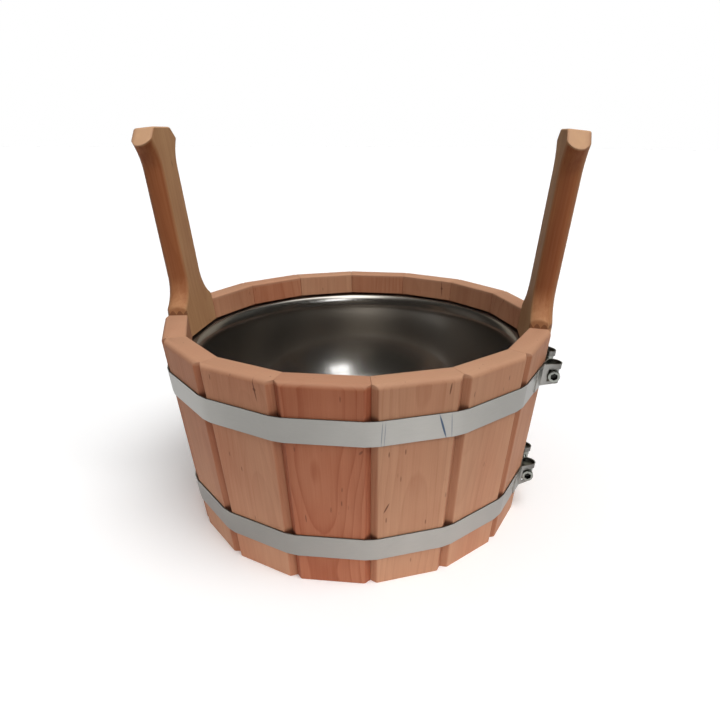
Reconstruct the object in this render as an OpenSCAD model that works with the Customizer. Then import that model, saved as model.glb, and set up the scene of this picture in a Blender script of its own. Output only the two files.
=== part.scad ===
// Coopered wash tub with two upright handles, a steel liner and two screw-clamped hoops.
// The origin is on the floor, on the tub's own axis. The handles stand on the X axis.

/* [Tub] */
// Width across the corners at the rim
rim_across = 340; // [315:1:410]
// Width across the corners at the foot
foot_across = 304; // [250:1:330]
// Height of the wall
wall_h = 174; // [145:1:220]
// Number of staves, two of which carry the handles
stave_n = 16; // [14, 16, 18]
// Thickness of a stave
stave_t = 19; // [15:0.5:23]
// Width of the open groove along each joint
groove_w = 9.2; // [6:0.1:11]
// Depth of that groove at the joint
groove_d = 4.6; // [3:0.1:6]
// Rounding of the rim's outer edge
rim_round = 3.5; // [1:0.1:5]
// Rounding of the rim's inner edge
rim_ease = 1.5; // [0.5:0.1:3]

/* [Handles] */
// Length of a handle above the rim, along its stave
handle_h = 152.5; // [125:0.5:185]
// Width of the grip at its faces
grip_w = 28.6; // [22:0.1:36]
// How far the sides of the grip swell at mid thickness
grip_swell = 3.7; // [1:0.1:5]
// Radius of the sweep that narrows the stave into the grip
root_r = 32; // [24:1:38]
// Height of that sweep's lowest point above the rim, or below it where negative
root_lift = -1.5; // [-3:0.5:6]
// Radius of the flare under the top
flare_r = 40; // [30:1:60]
// Length of the flare, up to its widest point
flare_h = 25; // [15:0.5:28]
// Height of the sloped corners
crown_h = 11.5; // [8:0.5:16]
// Width of the flat top
crown_w = 29.2; // [20:0.1:36]

/* [Bottom] */
// Height of the bottom boards above the floor
base_z = 18; // [10:0.5:25]
// Thickness of the bottom boards
base_t = 14; // [10:0.5:18]
// Depth to which the boards enter the staves
croze_d = 5; // [3:0.5:8]
// Length of the tongue between two boards
tongue_l = 5; // [3:0.5:8]
// Thickness of the tongue
tongue_t = 5; // [3:0.5:6]

/* [Liner] */
// Depth of the seat groove's upper edge below the rim
liner_drop = 20; // [12:0.5:28]
// Height of the seat groove
seat_h = 3; // [2:0.5:5]
// Sheet thickness of the liner
liner_t = 1; // [0.6:0.1:1.5]
// Width of the rounded lip that shows inside the wall
lip_w = 8.6; // [6:0.1:12]
// Reach of the flange into the corners of the wall
lip_hold = 2.4; // [1:0.1:4]
// Depth of that lip, from the seat down to where it meets the bowl
lip_h = 14; // [6:0.5:18]
// Radius of the liner's flat floor
floor_r = 60; // [40:1:80]
// Height of the liner's floor above the bottom boards
floor_gap = 4; // [2:0.5:12]

/* [Hoops] */
// Width of the hoop strip
hoop_w = 20; // [16:0.5:25]
// Thickness of the hoop strip
hoop_t = 1; // [0.8:0.1:1.3]
// Depth of the upper hoop's middle below the rim
upper_drop = 36; // [32:0.5:45]
// Height of the lower hoop's middle above the floor
lower_rise = 35.5; // [20:0.5:50]

/* [Clamps] */
// How far the upper clamp's plain barrel stands past the joint
upper_past = 3; // [2:0.5:5]
// How far the lower clamp's plain barrel stops short of the joint
lower_short = 5.5; // [5:0.5:8]
// Distance between the two barrels of a clamp
barrel_gap = 30.5; // [24:0.5:36]
// Thread diameter of the screw
screw_d = 6; // [5:0.5:7]
// Length of the screw under its head
screw_l = 45; // [42:1:52]
// Diameter of the screw's head
head_d = 10; // [9:0.1:12]
// Height of the screw's head
head_h = 6; // [4:0.5:7]
// Width across the flats of the hex socket
socket_w = 5; // [4:0.5:6]
// Run of a folded strip end, from its barrel to where it lands on the band
fold_run = 13.5; // [13:0.5:15]
// Length of the front strip end that lies on the band of the next face
front_tab = 16; // [8:0.5:20]
// Length of the rear strip end that lies on the band of the handle's face
rear_tab = 6.5; // [4:0.5:8]
// Width that the folded ends keep below the slot of the screw's head
fold_leg = 2.2; // [1.4:0.1:4]

/* [Hidden] */
$fn = 96;
plain_n = stave_n - 2;
plain_names = [for (i = [1 : plain_n]) str("stave_", i < 10 ? "0" : "", i)];
board_n = 4;
board_names = [for (i = [1 : board_n]) str("base_board_", i)];
clamp_names = ["plain_barrel", "threaded_barrel", "clamp_screw"];

// Taper of the wall: its faces, and its corners, lean out by these angles
sector = 360 / stave_n;
half = sector / 2;
rim_a = rim_across / 2 * cos(half);
foot_a = foot_across / 2 * cos(half);
lean = atan((rim_a - foot_a) / wall_h);
corner_lean = atan((rim_across - foot_across) / 2 / wall_h);
wall_x = stave_t / cos(lean);

// Clearances and small sizes
margin = 2;
swell_over = 0.8;
board_fit = 0.3;
tongue_fit = 0.2;
seat_fit = 1;
lip_gap = 0.2;
barrel_fit = 0.05;
screw_fit = 0.05;
head_gap = 0.05;
head_slack = 0.3;
barrel_over = 0.25;
barrel_ease = 0.6;
seat_depth = 0.85;
screw_ease = 0.8;
head_ease = 0.6;
socket_h = 3;
weld_sink = 0.1;
strip_lap = 1.5;
strip_lift = 5;
slot_floor = 0.2;
bore_slack = 0.3;
arc_n = 6;
turn_n = 20;
bowl_n = 16;
lip_n = 10;

wood = [0.72, 0.51, 0.39];
wood_dark = [0.58, 0.38, 0.27];
wood_light = [0.80, 0.62, 0.48];
steel = [0.70, 0.70, 0.68];
steel_dark = [0.45, 0.45, 0.44];

// Distances from the axis at height z: a face, a corner, and the strip where it spans a groove
function face_a(z) = foot_a + (rim_a - foot_a) * z / wall_h;
function corner_r(z) = face_a(z) / cos(half);
function span_a(z) = corner_r(z) - groove_edge * sin(half);
groove_edge = groove_w / 2 / cos(half);

function arc(c, r, a0, a1, n) = [for (i = [0 : n]) let (a = a0 + (a1 - a0) * i / n) c + r * [cos(a), sin(a)]];
function reverse(v) = [for (i = [len(v) - 1 : -1 : 0]) v[i]];

// Places
base_a = face_a(base_z) - wall_x + croze_d;
seat_z = wall_h - liner_drop - seat_h;
seat_a = face_a(seat_z) - wall_x;
flange_r = seat_a / cos(half) + lip_hold;
upper_z = wall_h - upper_drop;
lower_z = lower_rise;

// One stave: the side view of its plank, cut to a wedge of the circle
module wedge(h)
    linear_extrude(h)
        polygon([[0, 0], [rim_across, -rim_across * tan(half)], [rim_across, rim_across * tan(half)]]);

module plank(outline, h)
    intersection() {
        rotate([90, 0, 0]) linear_extrude(rim_across, center = true) polygon(outline);
        wedge(h);
    }

// Chamfers that make the V grooves, the croze for the bottom boards, and the liner's seat
module joinery(h) {
    deep = [-groove_d, 0];
    edge = [-groove_edge * sin(half), groove_w / 2];
    for (side = [-1, 1])
        rotate(side * half) translate([corner_r(0), 0, 0]) rotate([0, corner_lean, 0])
            translate([0, 0, -margin]) linear_extrude(h)
                polygon([deep, deep + 3 * (edge - deep), deep + 3 * ([edge.x, -edge.y] - deep)]);
    translate([0, -rim_across / 2, base_z]) cube([base_a, rim_across, base_t]);
    translate([0, 0, seat_z]) cylinder(r = flange_r + seat_fit, h = seat_h);
}

module plain_stave() {
    outer = [face_a(wall_h - rim_round) - rim_round / cos(lean), wall_h - rim_round];
    inner = [face_a(wall_h - rim_ease) - wall_x + rim_ease / cos(lean), wall_h - rim_ease];
    outline = concat(
        [[foot_a - wall_x, 0], [foot_a, 0]],
        arc(outer, rim_round, -lean, 90, arc_n),
        arc(inner, rim_ease, 90, 180 - lean, arc_n)
    );
    difference() {
        plank(outline, wall_h);
        joinery(2 * wall_h);
    }
}

// Handle stave: the same plank run on past the rim, then routed on both sides.
// Across the thickness every routed side is the same arc, so the grip swells between its faces.
swell_r = (pow(stave_t / 2, 2) + pow(grip_swell, 2)) / (2 * grip_swell);
root_w = root_lift + root_r;
flare_w = handle_h - crown_h - flare_h;
crown_edge = grip_w / 2 + flare_r - sqrt(pow(flare_r, 2) - pow(flare_h, 2));

// Round cutter with its axis through the thickness, hollowed to leave the swell; its lower or
// upper half is kept, from z0 to the plane of its axis or from there up
module spool(r, w, z0)
    intersection() {
        translate([-stave_t / 2, grip_w / 2 + r, w]) rotate([0, 90, 0]) rotate_extrude()
            difference() {
                translate([0, -stave_t / 2 - margin]) square([r + swell_over, stave_t + 2 * margin]);
                translate([r - grip_swell + swell_r, 0]) circle(swell_r);
            }
        translate([-stave_t - 2 * margin, 0, z0]) cube([stave_t + 4 * margin, rim_across, 2 * r]);
    }

module grip_cut() {
    spool(root_r, root_w, root_w - 2 * root_r);
    spool(flare_r, flare_w, flare_w);
    translate([0, 0, root_w]) linear_extrude(flare_w - root_w)
        difference() {
            translate([-stave_t - margin, grip_w / 2 - swell_over])
                square([stave_t + 2 * margin, rim_across / 4]);
            translate([-stave_t / 2, grip_w / 2 + grip_swell - swell_r]) circle(swell_r);
        }
    slope = (crown_edge - crown_w / 2) / crown_h;
    rise = 2 * margin;
    fall = crown_h + flare_h;
    rotate([90, 0, 90]) translate([0, 0, -stave_t - margin]) linear_extrude(stave_t + 2 * margin)
        polygon([
            [crown_w / 2 - slope * rise, handle_h + rise],
            [crown_w / 2 + slope * fall, handle_h - fall],
            [rim_across / 2, handle_h - fall],
            [rim_across / 2, handle_h + rise]
        ]);
}

module handle_stave() {
    tip = [rim_a, wall_h] + handle_h * [sin(lean), cos(lean)];
    outline = [[foot_a - wall_x, 0], [foot_a, 0], tip, tip + stave_t * [-cos(lean), sin(lean)]];
    difference() {
        plank(outline, wall_h + handle_h + stave_t);
        joinery(wall_h + handle_h);
        translate([rim_a, 0, wall_h]) rotate([0, lean, 0]) {
            grip_cut();
            mirror([0, 1, 0]) grip_cut();
        }
    }
}

// Bottom: boards across the tub, each with a tongue on one side and a groove on the other
module base_board(i) {
    board_a = base_a - board_fit;
    board_w = 2 * board_a / board_n;
    x0 = -board_a + (i - 1) * board_w;
    tongue_z = (base_t - tongue_t) / 2;
    translate([0, 0, base_z]) difference() {
        intersection() {
            rotate(half) linear_extrude(base_t)
                polygon([for (k = [1 : stave_n])
                    board_a / cos(half) * [cos(k * sector), sin(k * sector)]]);
            union() {
                translate([x0, -rim_across / 2, 0]) cube([board_w, rim_across, base_t]);
                if (i < board_n)
                    translate([x0, -rim_across / 2, tongue_z])
                        cube([board_w + tongue_l, rim_across, tongue_t]);
            }
        }
        if (i > 1)
            translate([x0 - margin, -rim_across / 2, tongue_z - tongue_fit])
                cube([tongue_l + tongue_fit + margin, rim_across, tongue_t + 2 * tongue_fit]);
    }
}

// Points on a quarter of an ellipse with half widths r, set off to one side by half the sheet
function quarter(c, r, a0, a1, off, n) = [for (i = [0 : n])
    let (a = a0 + (a1 - a0) * i / n, out = [cos(a) / r.x, sin(a) / r.y])
    c + [r.x * cos(a), r.y * sin(a)] + off * out / norm(out)];

// Liner: flange in its groove, wide rounded lip, then a quarter ellipse down to a flat floor
module liner() {
    sheet = liner_t / 2;
    lip = [lip_w - sheet - lip_gap, lip_h];
    lip_c = [seat_a - lip_gap, seat_z + sheet - lip_h];
    floor_z = base_z + base_t + floor_gap + sheet;
    bowl_c = [floor_r, lip_c.y];
    bowl = [lip_c.x - lip.x - floor_r, lip_c.y - floor_z];
    function skin(side) = concat(
        [[flange_r, seat_z + sheet - side * sheet]],
        quarter(lip_c, lip, 90, 180, -side * sheet, lip_n),
        [for (p = quarter(bowl_c, bowl, 0, -90, side * sheet, bowl_n)) if (p.y < lip_c.y - slot_floor) p],
        [[0, floor_z - side * sheet]]
    );
    rotate_extrude() polygon(concat(skin(-1), reverse(skin(1))));
}

// Hoop band: many-sided shells bounded by flat faces and by the flat spans over the grooves
module drum(d0, d1, z0, z1)
    intersection_for (i = [0 : stave_n / 2 - 1])
        rotate(i * sector) rotate([90, 0, 0]) linear_extrude(2 * rim_across, center = true)
            polygon([[-d0, z0], [d0, z0], [d1, z1], [-d1, z1]]);

module band_body(off, z0, z1) {
    face_off = off / cos(lean);
    span_off = off / cos(corner_lean);
    intersection() {
        drum(face_a(z0) + face_off, face_a(z1) + face_off, z0, z1);
        rotate(half) drum(span_a(z0) + span_off, span_a(z1) + span_off, z0, z1);
    }
}

module band(z_mid) {
    rise = hoop_w / 2 * cos(lean);
    difference() {
        band_body(hoop_t, z_mid - rise, z_mid + rise);
        band_body(0, z_mid - rise - margin, z_mid + rise + margin);
    }
}

// Clamp plan, seen square to the handle's face: x is the distance off that face, y runs along it.
// The strip comes in along the wall, turns round its barrel and folds back onto itself.
barrel_r = head_d / 2 + barrel_over;
ring_in = barrel_r + barrel_fit;
ring_out = ring_in + hoop_t;
ring_mid = ring_in + hoop_t / 2;
ring_x = ring_out + barrel_fit;
head_y = barrel_r - seat_depth;
slot_w = head_d + 2 * head_slack;
fold_low = slot_w / 2 + fold_leg;

function face_half(z) = face_a(z) * tan(half);
function front_y(z, past) = -face_half(z) - past;

// A point over the next face, from that face's middle, in the plan of the handle's face
function side_pt(z, along, off) =
    (face_a(z) + off) * [cos(sector), -sin(sector)] + along * [sin(sector), cos(sector)] - [face_a(z), 0];
// How far along the next face a point of the plan lies
function side_along(z, p) = (p.x + face_a(z)) * sin(sector) + p.y * cos(sector);
// Bearing at which a line from p touches the strip's turn round a barrel at c
function touch(p, c, side) = atan2(p.y - c.y, p.x - c.x) + side * acos(ring_mid / norm(p - c));

// Outline of a strip of the hoop's thickness along a path, mitred at each bend
function strip_outline(path) =
    let (
        last = len(path) - 1,
        side = [for (i = [0 : last - 1]) let (d = path[i + 1] - path[i]) [d.y, -d.x] / norm(d)],
        out = [for (i = [0 : last])
            let (a = side[max(i - 1, 0)], b = side[min(i, last - 1)]) (a + b) / (1 + a * b)]
    )
    concat(
        [for (i = [0 : last]) path[i] + out[i] * hoop_t / 2],
        [for (i = [last : -1 : 0]) path[i] - out[i] * hoop_t / 2]
    );

function leave_along(z) = face_half(z) - groove_edge - strip_lift;

// Path of the front fold. A barrel past the joint draws the strip off the next face in a straight
// run, and one short of the joint sits right on the band.
function front_path(z, past) =
    let (
        c = [ring_x, front_y(z, past)],
        twist = sin(lean) * (1 - cos(sector)) * hoop_w / 2,
        off = 1.5 * hoop_t - weld_sink - twist,
        land = side_along(z, c) - fold_run,
        landing = side_pt(z, land, off),
        leave = side_pt(z, leave_along(z) - strip_lap, hoop_t / 2),
        a_in = past > 0 ? 360 + touch(leave, c, -1) : 180
    )
    concat(
        past > 0 ? [leave] : [],
        arc(c, ring_mid, a_in, touch(landing, c, 1), turn_n),
        [landing, side_pt(z, land - front_tab, off)]
    );

function rear_path(z, past) =
    let (
        c = [ring_x, front_y(z, past) + barrel_gap],
        landing = [1.5 * hoop_t - weld_sink, c.y + fold_run]
    )
    concat(
        arc(c, ring_mid, -180, touch(landing, c, -1), turn_n),
        [landing, landing + [0, rear_tab]]
    );

// Plan of the gap in the band, from the rear barrel to where the front end leaves the wall
module band_gap(z, past) {
    deep = -margin;
    high = hoop_t + margin;
    rear = front_y(z, past) + barrel_gap - strip_lap;
    front = past > 0
        ? [[deep, -face_half(z)], side_pt(z, leave_along(z), deep),
            side_pt(z, leave_along(z), high), [high, -face_half(z)]]
        : [[deep, front_y(z, past) + strip_lap], [high, front_y(z, past) + strip_lap]];
    polygon(concat([[high, rear], [deep, rear]], front));
}

module at_clamp(z)
    translate([face_a(z), 0, z]) rotate([0, lean, 0]) children();

// Slots that fork the folds: the screw's head passes one of them, and its end passes the other
module fork_slots(z, past) {
    slot_x = hoop_t + slot_floor;
    reach = ring_out + margin;
    front = front_y(z, past);
    translate([slot_x, front - 2 * fold_run, -slot_w / 2])
        cube([2 * reach, 2 * fold_run + reach, slot_w]);
    translate([slot_x, front + barrel_gap - reach, -slot_w / 2])
        cube([2 * reach, reach + fold_run - hoop_t, slot_w]);
}

// Cut that narrows both folded ends from below, between the places where they land on the band
module fold_trim(z, past) {
    front = front_y(z, past);
    rear = front + barrel_gap;
    run = fold_run - ring_out;
    rise = hoop_w / 2 - fold_low;
    rotate([90, 0, 90]) linear_extrude(8 * ring_out, center = true)
        polygon([
            [front - fold_run - 3 * run, -hoop_w / 2 - 3 * rise],
            [rear + fold_run + 3 * run, -hoop_w / 2 - 3 * rise],
            [rear + ring_out, -fold_low],
            [front - ring_out, -fold_low]
        ]);
}

module hoop(z, past) {
    difference() {
        band(z);
        at_clamp(z) linear_extrude(hoop_w + 2 * margin, center = true) band_gap(z, past);
        at_clamp(z) fold_trim(z, past);
    }
    at_clamp(z) difference() {
        union() {
            linear_extrude(hoop_w, center = true) polygon(strip_outline(front_path(z, past)));
            linear_extrude(hoop_w, center = true) polygon(strip_outline(rear_path(z, past)));
        }
        fork_slots(z, past);
        fold_trim(z, past);
    }
}

// Clamp barrels: round pins across the strip, with a cross bore for the screw
module barrel(bore_r) {
    length = 2 * fold_low;
    difference() {
        rotate_extrude() polygon([
            [0, -length / 2], [barrel_r - barrel_ease, -length / 2], [barrel_r, -length / 2 + barrel_ease],
            [barrel_r, length / 2 - barrel_ease], [barrel_r - barrel_ease, length / 2], [0, length / 2]
        ]);
        rotate([90, 0, 0]) cylinder(r = bore_r, h = 3 * barrel_r, center = true);
    }
}

module plain_barrel(z, past)
    at_clamp(z) translate([ring_x, front_y(z, past), 0]) difference() {
        barrel(screw_d / 2 + bore_slack);
        translate([0, -head_y, 0]) rotate([90, 0, 0]) cylinder(r = head_d / 2 + head_slack, h = barrel_r);
    }

module threaded_barrel(z, past)
    at_clamp(z) translate([ring_x, front_y(z, past) + barrel_gap, 0]) barrel(screw_d / 2);

// Socket head screw, lying along Y with its head to the front
module clamp_screw(z, past) {
    screw_r = screw_d / 2 - screw_fit;
    head_r = head_d / 2;
    tip = head_h + screw_l;
    at_clamp(z) translate([ring_x, front_y(z, past) - head_y - head_gap - head_h, 0]) rotate([-90, 0, 0])
        difference() {
            rotate_extrude() polygon([
                [0, 0], [head_r - head_ease, 0], [head_r, head_ease], [head_r, head_h], [screw_r, head_h],
                [screw_r, tip - screw_ease], [screw_r - screw_ease, tip], [0, tip]
            ]);
            translate([0, 0, -margin]) cylinder(r = socket_w / sqrt(3), h = socket_h + margin, $fn = 6);
        }
}

// The staves are counted counter-clockwise from the right handle, seen from above
function slot(i) = i < stave_n / 2 ? i : i + 1;

for (i = [1 : plain_n])
    color(wood) rotate(slot(i) * sector) plain_stave();
for (i = [1 : board_n])
    color(wood_light) base_board(i);
color(wood_dark) handle_stave();  // handle_stave_right
color(wood_dark) rotate(180) handle_stave();  // handle_stave_left
color(steel_dark) liner();
color(steel) hoop(upper_z, upper_past);  // upper_hoop
color(steel) hoop(lower_z, -lower_short);  // lower_hoop
color(steel) plain_barrel(upper_z, upper_past);  // upper_plain_barrel
color(steel) plain_barrel(lower_z, -lower_short);  // lower_plain_barrel
color(steel) threaded_barrel(upper_z, upper_past);  // upper_threaded_barrel
color(steel) threaded_barrel(lower_z, -lower_short);  // lower_threaded_barrel
color(steel) clamp_screw(upper_z, upper_past);  // upper_clamp_screw
color(steel) clamp_screw(lower_z, -lower_short);  // lower_clamp_screw
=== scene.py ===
"""Coopered wash tub: staves, bottom boards, steel liner, hoops and clamps on the CAD frame."""

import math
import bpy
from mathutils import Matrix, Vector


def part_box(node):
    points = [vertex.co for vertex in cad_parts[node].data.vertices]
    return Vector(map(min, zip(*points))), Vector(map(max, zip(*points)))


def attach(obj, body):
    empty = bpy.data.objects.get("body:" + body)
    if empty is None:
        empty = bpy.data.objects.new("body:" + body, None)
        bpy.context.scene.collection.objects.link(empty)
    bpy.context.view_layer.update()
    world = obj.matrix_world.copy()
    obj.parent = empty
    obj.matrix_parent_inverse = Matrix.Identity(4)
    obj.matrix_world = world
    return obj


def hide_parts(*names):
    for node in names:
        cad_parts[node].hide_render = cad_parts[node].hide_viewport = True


bl_info = {
    "name": "Coopered Tub",
    "version": (1, 0, 0),
    "blender": (4, 5, 0),
    "location": "View3D > Sidebar > Tub",
    "description": "Builds the looks of a coopered tub on its fixed CAD frame",
    "category": "Object",
}

import bmesh
import bpy
import numpy as np
from bpy.props import FloatProperty, FloatVectorProperty, IntProperty, PointerProperty
from mathutils import Matrix, Vector

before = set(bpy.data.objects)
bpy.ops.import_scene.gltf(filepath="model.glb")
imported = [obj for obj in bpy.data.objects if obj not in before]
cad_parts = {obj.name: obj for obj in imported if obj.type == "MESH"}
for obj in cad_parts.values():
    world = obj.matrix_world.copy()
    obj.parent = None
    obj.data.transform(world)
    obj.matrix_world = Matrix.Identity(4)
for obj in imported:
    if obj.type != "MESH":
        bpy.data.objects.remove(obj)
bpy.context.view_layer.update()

MM = 0.001
TUB_BODY = "tub"
CLAMPS = ("upper", "lower")
# Strength, way the face looks in degrees, place across the face, height, half width, half length, slant
WOOD_MARKS = (
    (0.75, 292.5, 0.0215, 0.1660, 0.0007, 0.0055, 0.10),
    (0.80, 292.5, -0.0198, 0.0730, 0.0009, 0.0050, 0.45),
    (0.70, 270.0, -0.0171, 0.0618, 0.0005, 0.0045, -0.05),
    (0.60, 270.0, 0.0107, 0.0903, 0.0005, 0.0025, 0.05),
    (0.60, 270.0, 0.0019, 0.0714, 0.0005, 0.0032, 0.05),
    (0.55, 270.0, 0.0249, 0.1229, 0.0013, 0.0022, 0.60),
    (0.45, 292.5, 0.0020, 0.0280, 0.0005, 0.0030, 0.10),
    (0.80, 67.5, -0.0187, 0.1650, 0.0006, 0.0100, 0.09, True),
    (0.60, 67.5, -0.0187, 0.1655, 0.0015, 0.0016, 0.09, True),
)
# Heights of the hoops' top edges, where the wood in the grooves is painted with shadow.
HOOP_EDGES = (0.1470, 0.0448)
PEN_MARKS = (
    (0.85, 292.5, 0.0179, 0.1376, 0.0010, 0.0120, -0.32),
    (0.55, 292.5, 0.0245, 0.1370, 0.0004, 0.0130, -0.08),
    (0.50, 292.5, -0.0257, 0.1370, 0.0004, 0.0130, 0.03),
    (0.40, 292.5, -0.0235, 0.1370, 0.0004, 0.0130, 0.03),
)
BOARD_COUNT = 4


# ---------------------------------------------------------------- sizes and colours

class TubSizes(bpy.types.PropertyGroup):
    rim_across: FloatProperty(
        name="Rim Across", description="Width across the corners at the rim",
        default=0.340, min=0.2, max=0.6, subtype="DISTANCE", unit="LENGTH")
    foot_across: FloatProperty(
        name="Foot Across", description="Width across the corners at the foot",
        default=0.304, min=0.2, max=0.6, subtype="DISTANCE", unit="LENGTH")
    wall_height: FloatProperty(
        name="Wall Height", description="Height of the wall",
        default=0.174, min=0.1, max=0.3, subtype="DISTANCE", unit="LENGTH")
    stave_count: IntProperty(
        name="Staves", description="Number of staves, two of which carry the handles",
        default=16, min=12, max=20)
    stave_thickness: FloatProperty(
        name="Stave Thickness", description="Thickness of a stave, square to its face",
        default=0.019, min=0.012, max=0.026, subtype="DISTANCE", unit="LENGTH")
    groove_width: FloatProperty(
        name="Groove Width", description="Width of the open groove along each joint",
        default=0.0092, min=0.004, max=0.012, subtype="DISTANCE", unit="LENGTH")
    groove_depth: FloatProperty(
        name="Groove Depth", description="Depth of that groove at the joint",
        default=0.0046, min=0.002, max=0.007, subtype="DISTANCE", unit="LENGTH")
    rim_round: FloatProperty(
        name="Rim Rounding", description="Rounding of the rim's outer edge",
        default=0.0035, min=0.001, max=0.005, subtype="DISTANCE", unit="LENGTH")
    rim_ease: FloatProperty(
        name="Rim Easing", description="Rounding of the rim's inner edge",
        default=0.0015, min=0.0005, max=0.003, subtype="DISTANCE", unit="LENGTH")
    edge_ease: FloatProperty(
        name="Edge Easing", description="How far sanding has softened the staves' long edges",
        default=0.0008, min=0.0002, max=0.0015, subtype="DISTANCE", unit="LENGTH")
    joint_gap: FloatProperty(
        name="Joint Gap", description="Open gap left in each joint",
        default=0.00012, min=0.0, max=0.0005, subtype="DISTANCE", unit="LENGTH")
    croze_height: FloatProperty(
        name="Croze Height", description="Height of the bottom boards above the floor",
        default=0.018, min=0.01, max=0.03, subtype="DISTANCE", unit="LENGTH")
    croze_width: FloatProperty(
        name="Croze Width", description="Height of the groove that holds the bottom boards",
        default=0.014, min=0.01, max=0.02, subtype="DISTANCE", unit="LENGTH")
    croze_depth: FloatProperty(
        name="Croze Depth", description="Depth of the groove that holds the bottom boards",
        default=0.005, min=0.003, max=0.008, subtype="DISTANCE", unit="LENGTH")


class HandleSizes(bpy.types.PropertyGroup):
    height: FloatProperty(
        name="Height", description="Length of a handle above the rim, along its stave",
        default=0.1525, min=0.1, max=0.2, subtype="DISTANCE", unit="LENGTH")
    grip_width: FloatProperty(
        name="Grip Width", description="Width of the grip at its faces",
        default=0.0286, min=0.02, max=0.04, subtype="DISTANCE", unit="LENGTH")
    grip_swell: FloatProperty(
        name="Grip Swell", description="How far the sides of the grip swell at mid thickness",
        default=0.0037, min=0.001, max=0.006, subtype="DISTANCE", unit="LENGTH")
    root_radius: FloatProperty(
        name="Root Radius", description="Radius of the sweep from the stave into the grip",
        default=0.032, min=0.02, max=0.04, subtype="DISTANCE", unit="LENGTH")
    root_lift: FloatProperty(
        name="Root Lift", description="Height of that sweep's lowest point above the rim",
        default=-0.0015, min=-0.005, max=0.01, subtype="DISTANCE", unit="LENGTH")
    flare_radius: FloatProperty(
        name="Flare Radius", description="Radius of the flare under the top",
        default=0.040, min=0.03, max=0.06, subtype="DISTANCE", unit="LENGTH")
    flare_length: FloatProperty(
        name="Flare Length", description="Length of the flare, up to its widest point",
        default=0.025, min=0.01, max=0.03, subtype="DISTANCE", unit="LENGTH")
    crown_height: FloatProperty(
        name="Crown Height", description="Height of the sloped corners",
        default=0.0088, min=0.005, max=0.02, subtype="DISTANCE", unit="LENGTH")
    crown_width: FloatProperty(
        name="Crown Width", description="Width of the flat top",
        default=0.0292, min=0.02, max=0.04, subtype="DISTANCE", unit="LENGTH")
    crown_swell: FloatProperty(
        name="Crown Swell", description="How much more the sides swell by the time they reach the crown",
        default=0.0034, min=0.0, max=0.005, subtype="DISTANCE", unit="LENGTH")
    outer_round: FloatProperty(
        name="Outer Rounding", description="Rounding of the handle's edges away from the tub",
        default=0.0054, min=0.0005, max=0.007, subtype="DISTANCE", unit="LENGTH")
    inner_round: FloatProperty(
        name="Inner Rounding", description="Rounding of the handle's edges towards the tub",
        default=0.0017, min=0.0005, max=0.004, subtype="DISTANCE", unit="LENGTH")


class LinerSizes(bpy.types.PropertyGroup):
    seat_height: FloatProperty(
        name="Seat Height", description="Height of the underside of the liner's lip",
        default=0.151, min=0.1, max=0.2, subtype="DISTANCE", unit="LENGTH")
    seat_width: FloatProperty(
        name="Seat Width", description="Height of the groove that holds the lip",
        default=0.003, min=0.001, max=0.005, subtype="DISTANCE", unit="LENGTH")
    lip_hold: FloatProperty(
        name="Lip Hold", description="Reach of the lip into the corners of the wall",
        default=0.0024, min=0.001, max=0.004, subtype="DISTANCE", unit="LENGTH")
    lip_width: FloatProperty(
        name="Lip Width", description="Width of the rounded lip that shows inside the wall",
        default=0.0086, min=0.004, max=0.012, subtype="DISTANCE", unit="LENGTH")
    lip_height: FloatProperty(
        name="Lip Height", description="Depth of the lip, from its seat to where it meets the bowl",
        default=0.014, min=0.004, max=0.02, subtype="DISTANCE", unit="LENGTH")
    lip_gap: FloatProperty(
        name="Lip Gap", description="How far inside the wall's face the lip starts to round over",
        default=0.0002, min=0.0, max=0.002, subtype="DISTANCE", unit="LENGTH")
    sheet: FloatProperty(
        name="Sheet", description="Thickness of the liner's sheet",
        default=0.001, min=0.0005, max=0.002, subtype="DISTANCE", unit="LENGTH")
    floor_radius: FloatProperty(
        name="Floor Radius", description="Radius of the liner's flat floor",
        default=0.060, min=0.03, max=0.09, subtype="DISTANCE", unit="LENGTH")
    floor_gap: FloatProperty(
        name="Floor Gap", description="Height of the liner's floor above the bottom boards",
        default=0.004, min=0.002, max=0.02, subtype="DISTANCE", unit="LENGTH")


class ClampSizes(bpy.types.PropertyGroup):
    head_diameter: FloatProperty(
        name="Head Diameter", description="Diameter of the screw's head",
        default=0.010, min=0.008, max=0.014, subtype="DISTANCE", unit="LENGTH")
    head_height: FloatProperty(
        name="Head Height", description="Height of the screw's head",
        default=0.006, min=0.004, max=0.008, subtype="DISTANCE", unit="LENGTH")
    socket_width: FloatProperty(
        name="Socket Width", description="Width across the flats of the hex socket",
        default=0.005, min=0.003, max=0.006, subtype="DISTANCE", unit="LENGTH")
    socket_depth: FloatProperty(
        name="Socket Depth", description="Depth of the hex socket",
        default=0.003, min=0.001, max=0.005, subtype="DISTANCE", unit="LENGTH")
    crest_radius: FloatProperty(
        name="Thread Radius", description="Radius over the thread's crests",
        default=0.00294, min=0.002, max=0.004, subtype="DISTANCE", unit="LENGTH")
    thread_depth: FloatProperty(
        name="Thread Depth", description="Depth of the thread",
        default=0.0005, min=0.0001, max=0.001, subtype="DISTANCE", unit="LENGTH")
    pitch: FloatProperty(
        name="Pitch", description="Distance between two turns of the thread",
        default=0.001, min=0.0005, max=0.002, subtype="DISTANCE", unit="LENGTH")
    ridges: IntProperty(
        name="Ridges", description="Number of ridges round the head",
        default=36, min=12, max=60)


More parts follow.
